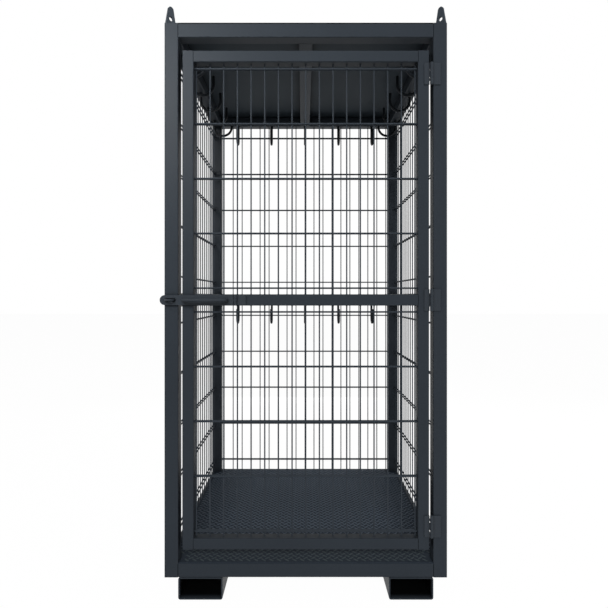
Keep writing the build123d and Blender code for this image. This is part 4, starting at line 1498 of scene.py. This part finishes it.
@dataclass
class TreadPattern:
    """The tread sheet that lies on the bottom rails, and the raised tears on it and on the sill's strip.

    Attributes:
        pitch: the distance from a tear to the next that lies the same way.
        half_length: half a tear's length.
        half_width: half its width.
        rise: its height.
        sink: how deep it reaches into the plate.
        low: the height of the rails' tops, where the sheet lies.
        thick: the thickness of the sheet and of the strip.
        chamfer: how much the sheet's upper edge is broken.
        gap: how far the sheet stays off the posts, and the strip inside the sill's edges.
        wall: how far the sheet reaches, just short of the mesh's wires.
        post: how far it reaches beside a post.
        strip: how far from the cage's middle the sheet meets the sill's strip.
        front: how far the strip's front edge is from the middle.
        shaded: how far from the middle the tears begin that lie in the shade under the door.
        margin: how far the tears' middles stay from the edges.
    """

    pitch: float = 0.028
    half_length: float = 0.0130
    half_width: float = 0.0040
    rise: float = 0.0019
    sink: float = 0.0003
    low: float = CAGE.foot + CAGE.tube
    thick: float = 0.003
    chamfer: float = 0.0005
    gap: float = 0.001
    wall: float = 0.4945
    post: float = CAGE.inner - gap
    strip: float = CAGE.inner + gap
    front: float = CAGE.half - gap
    shaded: float = 0.405
    margin: float = 0.0125

    def sheet(self) -> np.ndarray:
        """Works out the sheet as rings round its outline, which steps round the four posts.

        The rings are at its underside, below its broken edge and at its top, where every corner is moved
        by the chamfer towards the middle.

        Returns:
            Its rings, 1 x 3 x 12 x 3.
        """
        wall, post = self.wall, self.post
        front_half = [(post, -self.strip), (post, -post), (wall, -post)]
        right = np.array(front_half + [(wall, post), (post, post), (post, wall)])
        outline = np.concatenate([right, right[::-1] * (-1.0, 1.0)])
        inward = np.array([0.0, 0.0, self.chamfer])
        height = self.low + np.array([0.0, self.thick - self.chamfer, self.thick])
        level = outline - inward[:, None, None] * np.sign(outline)
        return np.concatenate([level, np.broadcast_to(height[:, None, None], (3, 12, 1))], axis=-1)[None]

    def spots(self, shift: float, in_shade: bool) -> np.ndarray:
        """Works out where the tears of one way stand, which is on a square lattice.

        Args:
            shift: how far the lattice is moved, as a share of its pitch.
            in_shade: whether the spots in the shade under the door are wanted, or the others.

        Returns:
            The spots on X and Y, n x 2.
        """
        count = int(self.front / self.pitch) + 2
        across = (np.arange(-count, count) + shift) * self.pitch
        x, y = np.meshgrid(across, across)
        wall, post = self.wall - self.margin, self.post - self.margin
        beside = (np.abs(x) < wall) & (np.abs(y) < post)
        between = (np.abs(x) < post) & (y > self.margin - self.front) & (y < wall)
        inside = (beside | between) & ((y < -self.shaded) == in_shade)
        return np.stack([x[inside], y[inside]], axis=-1)

    def tears(self, spots: np.ndarray, way: float) -> np.ndarray:
        """Works out tears as rings along their length.

        At the station s from -1 to 1 the width and height are scaled by the root of 1 - s squared. The
        section is half an ellipse above the plate, closed by a flat underside sunk into it.

        Args:
            spots: their places on X and Y.
            way: which way they lie, 1 or -1.

        Returns:
            Their rings, tears x 5 x 6 x 3.
        """
        station = np.array([-0.97, -0.62, 0.0, 0.62, 0.97])
        swell = np.sqrt(1.0 - station**2)[:, None]
        section = np.array([[-1.0, -1.0], [-1.0, 0.0], [-0.55, 0.84], [0.55, 0.84], [1.0, 0.0], [1.0, -1.0]])
        wide = self.half_width * swell * section[:, 0]
        high = np.where(section[:, 1] > 0.0, self.rise * swell * section[:, 1], self.sink * section[:, 1])
        along = np.broadcast_to(self.half_length * station[:, None], wide.shape)
        turn = math.sqrt(0.5)
        up = np.broadcast_to(high, wide.shape) + (self.low + self.thick)
        shape = np.stack([turn * (along + way * wide), turn * (way * along - wide), up], axis=-1)
        rings = np.broadcast_to(shape, (len(spots), *shape.shape)).copy()
        rings[..., :2] += spots[:, None, None, :]
        return rings

    def build(
        self,
        plate_finish: bpy.types.Material,
        tear_finish: bpy.types.Material,
        shaded_finish: bpy.types.Material,
    ) -> None:
        """Makes the sheet and the two fields of tears.

        Tears of one way stand on a square lattice, and those of the other way in the middle of its cells.

        Args:
            plate_finish: the sheet's material.
            tear_finish: the material of the tears inside the cage.
            shaded_finish: that of the tears in the shade under the door, a darker copy painted as shadow.
        """
        stock = MeshStock()
        stock.add_bars(self.sheet())
        stock.make("floor_tread_sheet", Body.FRAME, Slot.FLOOR, plate_finish)
        for name, in_shade, finish in (
            ("tread_plate_pattern", False, tear_finish),
            ("sill_tread_pattern", True, shaded_finish),
        ):
            stock = MeshStock()
            for way, shift in ((1.0, 0.0), (-1.0, 0.5)):
                stock.add_bars(self.tears(self.spots(shift, in_shade), way))
            stock.make(name, Body.FRAME, Slot.FLOOR, finish)


@dataclass
class TubePlugs:
    """Dished plastic plugs in the open lower ends of the posts and the door's stiles.

    Attributes:
        post_half: half the width of a plug in a post.
        stile_half: half the width of a plug in a stile.
    """

    post_half: float = 0.0219
    stile_half: float = 0.0174

    def plug(self, middle: tuple[float, float], low: float, half: float) -> np.ndarray:
        """Works out a plug as rings of a rounded square about an upright line.

        A ring's point is half times the share times (c, s) over the eighth root of c^8 + s^8, so it is a
        square with round corners. The rings go up the outside and down into a shallow dish.

        Args:
            middle: its middle on X and Y.
            low: the height of the tube's end.
            half: half its width.

        Returns:
            Its rings, 1 x n x sides x 3.
        """
        wheel = circle(sides=32)
        square = wheel / (wheel**8).sum(axis=1, keepdims=True) ** 0.125
        share = np.array([0.60, 0.72, 0.94, 1.0, 1.0])
        height = low + np.array([0.0024, 0.0006, 0.0003, 0.0012, 0.0060])
        level = np.array(middle) + half * share[:, None, None] * square
        up = np.broadcast_to(height[:, None, None], (*level.shape[:2], 1))
        return np.concatenate([level, up], axis=-1)[None]

    def build(self, finish: bpy.types.Material) -> None:
        """Makes the plugs of the posts and of the door in their finish."""
        posts, stiles = MeshStock(), MeshStock()
        for corner in CORNERS:
            posts.add_bars(self.plug(scaled(corner, CAGE.half - CAGE.tube / 2.0), CAGE.foot, self.post_half))
        x, y = CAGE.stile + CAGE.door_tube / 2.0, CAGE.door_tube / 2.0 - CAGE.half
        for side in SIDES:
            stiles.add_bars(self.plug((side * x, y), CAGE.middle - CAGE.door_rise, self.stile_half))
        posts.make("post_plugs", Body.FRAME, Slot.FRAME, finish)
        stiles.make("door_plugs", Body.DOOR, Slot.FRAME, finish)


# The studio


@dataclass(frozen=True)
class SoftLamp:
    """A soft lamp that lights the cage and isn't seen itself.

    Attributes:
        name: its name.
        place: where it stands.
        target: the point that it faces.
        size: its width and height.
        power: its power in watts.
        shine: whether it also shows in glosses.
        tint: its colour.
        spread: the angle of its cone, in degrees.
    """

    name: str
    place: Point
    target: Point
    size: tuple[float, float]
    power: float
    shine: bool = True
    tint: Color = (1.0, 1.0, 1.0)
    spread: float = 180.0

    def build(self) -> None:
        """Makes the lamp, turned from straight down towards its target."""
        data = bpy.data.lights.new(self.name, "AREA")
        data.shape, data.energy, data.color = "RECTANGLE", self.power, self.tint
        data.size, data.size_y = self.size
        data.spread = math.radians(self.spread)
        lamp = add_object(self.name, data)
        lamp.location = self.place
        x, y, z = (goal - here for goal, here in zip(self.target, self.place))
        lamp.rotation_euler = (math.atan2(math.hypot(x, y), -z), 0.0, math.atan2(-x, y))
        lamp.visible_camera = False
        lamp.visible_glossy = self.shine


LAMPS = (
    SoftLamp(
        "key_lamp", (-1.15, -2.40, 2.45), (-0.64, -0.51, 2.00), (0.30, 0.30), 3.3,
        tint=(1.0, 0.965, 0.915), spread=52.0,
    ),
    SoftLamp("front_lamp", (0.0, -10.5, 5.8), (0.0, -0.5, 1.0), (5.0, 3.0), 750.0, shine=False),
    SoftLamp("side_lamp", (3.4, 2.2, 2.2), (0.0, 0.2, 1.0), (1.6, 1.6), 14.0),
    SoftLamp("low_lamp", (0.0, 3.4, 0.4), (0.0, 0.0, 1.95), (1.6, 0.8), 40.0, shine=False),
)


@dataclass
class Studio:
    """A white studio: a pale floor, a plain world, soft lamps and the camera.

    Attributes:
        floor_half: half the floor's width.
        floor_grey: how pale the floor is.
        shown: how much of the floor's own shading the camera doesn't see.
        glow: the strength of the white that it sees instead, so that both together come to white.
        ambient: the world's strength for light on the object.
        eye: the camera's place.
        lens: its focal length, in millimetres.
        sensor: its sensor's width, in millimetres.
        shift: how far its view is shifted, as shares of the frame.
    """

    floor_half: float = 30.0
    floor_grey: float = 0.62
    shown: float = 0.90
    glow: float = 1.08
    ambient: float = 0.16
    eye: Point = (-0.0078, -2.3597, 1.0933)
    lens: float = 30.38
    sensor: float = 36.0
    shift: tuple[float, float] = (0.00066, -0.0125)

    def seen(self, shader: ShaderTree) -> Value:
        """Returns 1 for rays from the camera, off a gloss or through glass, and 0 for light on the object."""
        rays = shader.node("ShaderNodeLightPath", {}, {}).outputs
        camera, glossy, through = (
            Value(shader, rays[name]) for name in ("Is Camera Ray", "Is Glossy Ray", "Is Transmission Ray")
        )
        return (camera + glossy + through).clamped()

    def floor(self) -> None:
        """Makes the floor: a white surface whose shading shows only a little, so its shadow stays soft."""
        half = self.floor_half
        mesh = bpy.data.meshes.new("studio_floor")
        corners = [(-half, -half, 0.0), (half, -half, 0.0), (half, half, 0.0), (-half, half, 0.0)]
        mesh.from_pydata(corners, [], [(0, 1, 2, 3)])
        material = bpy.data.materials.new("studio_floor")
        shader = ShaderTree(material)
        grey = rgba((self.floor_grey, self.floor_grey, self.floor_grey))
        matt = shader.node("ShaderNodeBsdfDiffuse", {}, {"Color": grey})
        white = shader.node("ShaderNodeEmission", {}, {"Color": WHITE, "Strength": self.glow})
        shader.blended("ShaderNodeOutputMaterial", self.seen(shader) * self.shown, matt, white)
        mesh.materials.append(material)
        floor = add_object("studio_floor", mesh)

    def world(self) -> None:
        """Makes the world: white where it is seen, and an even light on the object."""
        world = bpy.data.worlds.new("studio_world")
        bpy.context.scene.world = world
        shader = ShaderTree(world)
        light = shader.node("ShaderNodeBackground", {}, {"Color": WHITE, "Strength": self.ambient})
        white = shader.node("ShaderNodeBackground", {}, {"Color": WHITE, "Strength": 1.0})
        shader.blended("ShaderNodeOutputWorld", self.seen(shader), light, white)

    def camera(self) -> None:
        """Makes the camera, level and square to the door."""
        data = bpy.data.cameras.new("studio_camera")
        data.sensor_width, data.lens = self.sensor, self.lens
        data.shift_x, data.shift_y = self.shift
        camera = add_object("studio_camera", data)
        camera.location = self.eye
        camera.rotation_euler = (math.radians(90.0), 0.0, 0.0)
        bpy.context.scene.camera = camera

    def build(self) -> None:
        """Makes the whole studio."""
        self.floor()
        self.world()
        for lamp in LAMPS:
            lamp.build()
        self.camera()
        bpy.context.scene.view_settings.view_transform = "Standard"
        LOG.info("studio made")


# Putting it together


def dress_nodes(
    nodes: dict[str, bpy.types.Object], record: dict, finishes: dict[Slot, bpy.types.Material]
) -> None:
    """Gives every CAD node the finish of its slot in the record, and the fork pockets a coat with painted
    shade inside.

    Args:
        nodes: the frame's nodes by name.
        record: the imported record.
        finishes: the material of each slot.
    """
    pocket_shade_finish = POCKET_COAT.build()
    for part in record["subparts"]:
        mesh = nodes[part["node"]].data
        mesh.materials.clear()
        finish = pocket_shade_finish if part["node"] in POCKETS else finishes[Slot(part["material_slot"])]
        mesh.materials.append(finish)
    LOG.info("%d CAD nodes dressed", len(record["subparts"]))


def main(frame: dict) -> None:
    """Builds the looks in order.
    """
    finishes = {slot: coat.build() for slot, coat in COATS.items()}
    plastic = MouldedPlastic("black_plug_plastic").build()
    dress_nodes(frame["nodes"], frame["record"], finishes)
    MeshWork().build(finishes[Slot.MESH])
    HookWork().build(HOOK_SHADE_COAT.build())
    HaspFittings().build(finishes[Slot.FITTING])
    LiftingLugs().build(finishes[Slot.LIFTING])
    HingeFittings().build(finishes[Slot.FITTING])
    WeldSeams().build(finishes[Slot.FRAME])
    GrooveShadeStrips().build(GROOVE_SHADE_COAT.build())
    TreadPattern().build(finishes[Slot.FLOOR], TEAR_COAT.build(), SHADED_TEAR_COAT.build())
    TubePlugs().build(plastic)
    Studio().build()


if __name__ == "__main__":
    logging.basicConfig(level=logging.INFO, format="%(name)s: %(message)s")
    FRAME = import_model()
    main(FRAME)
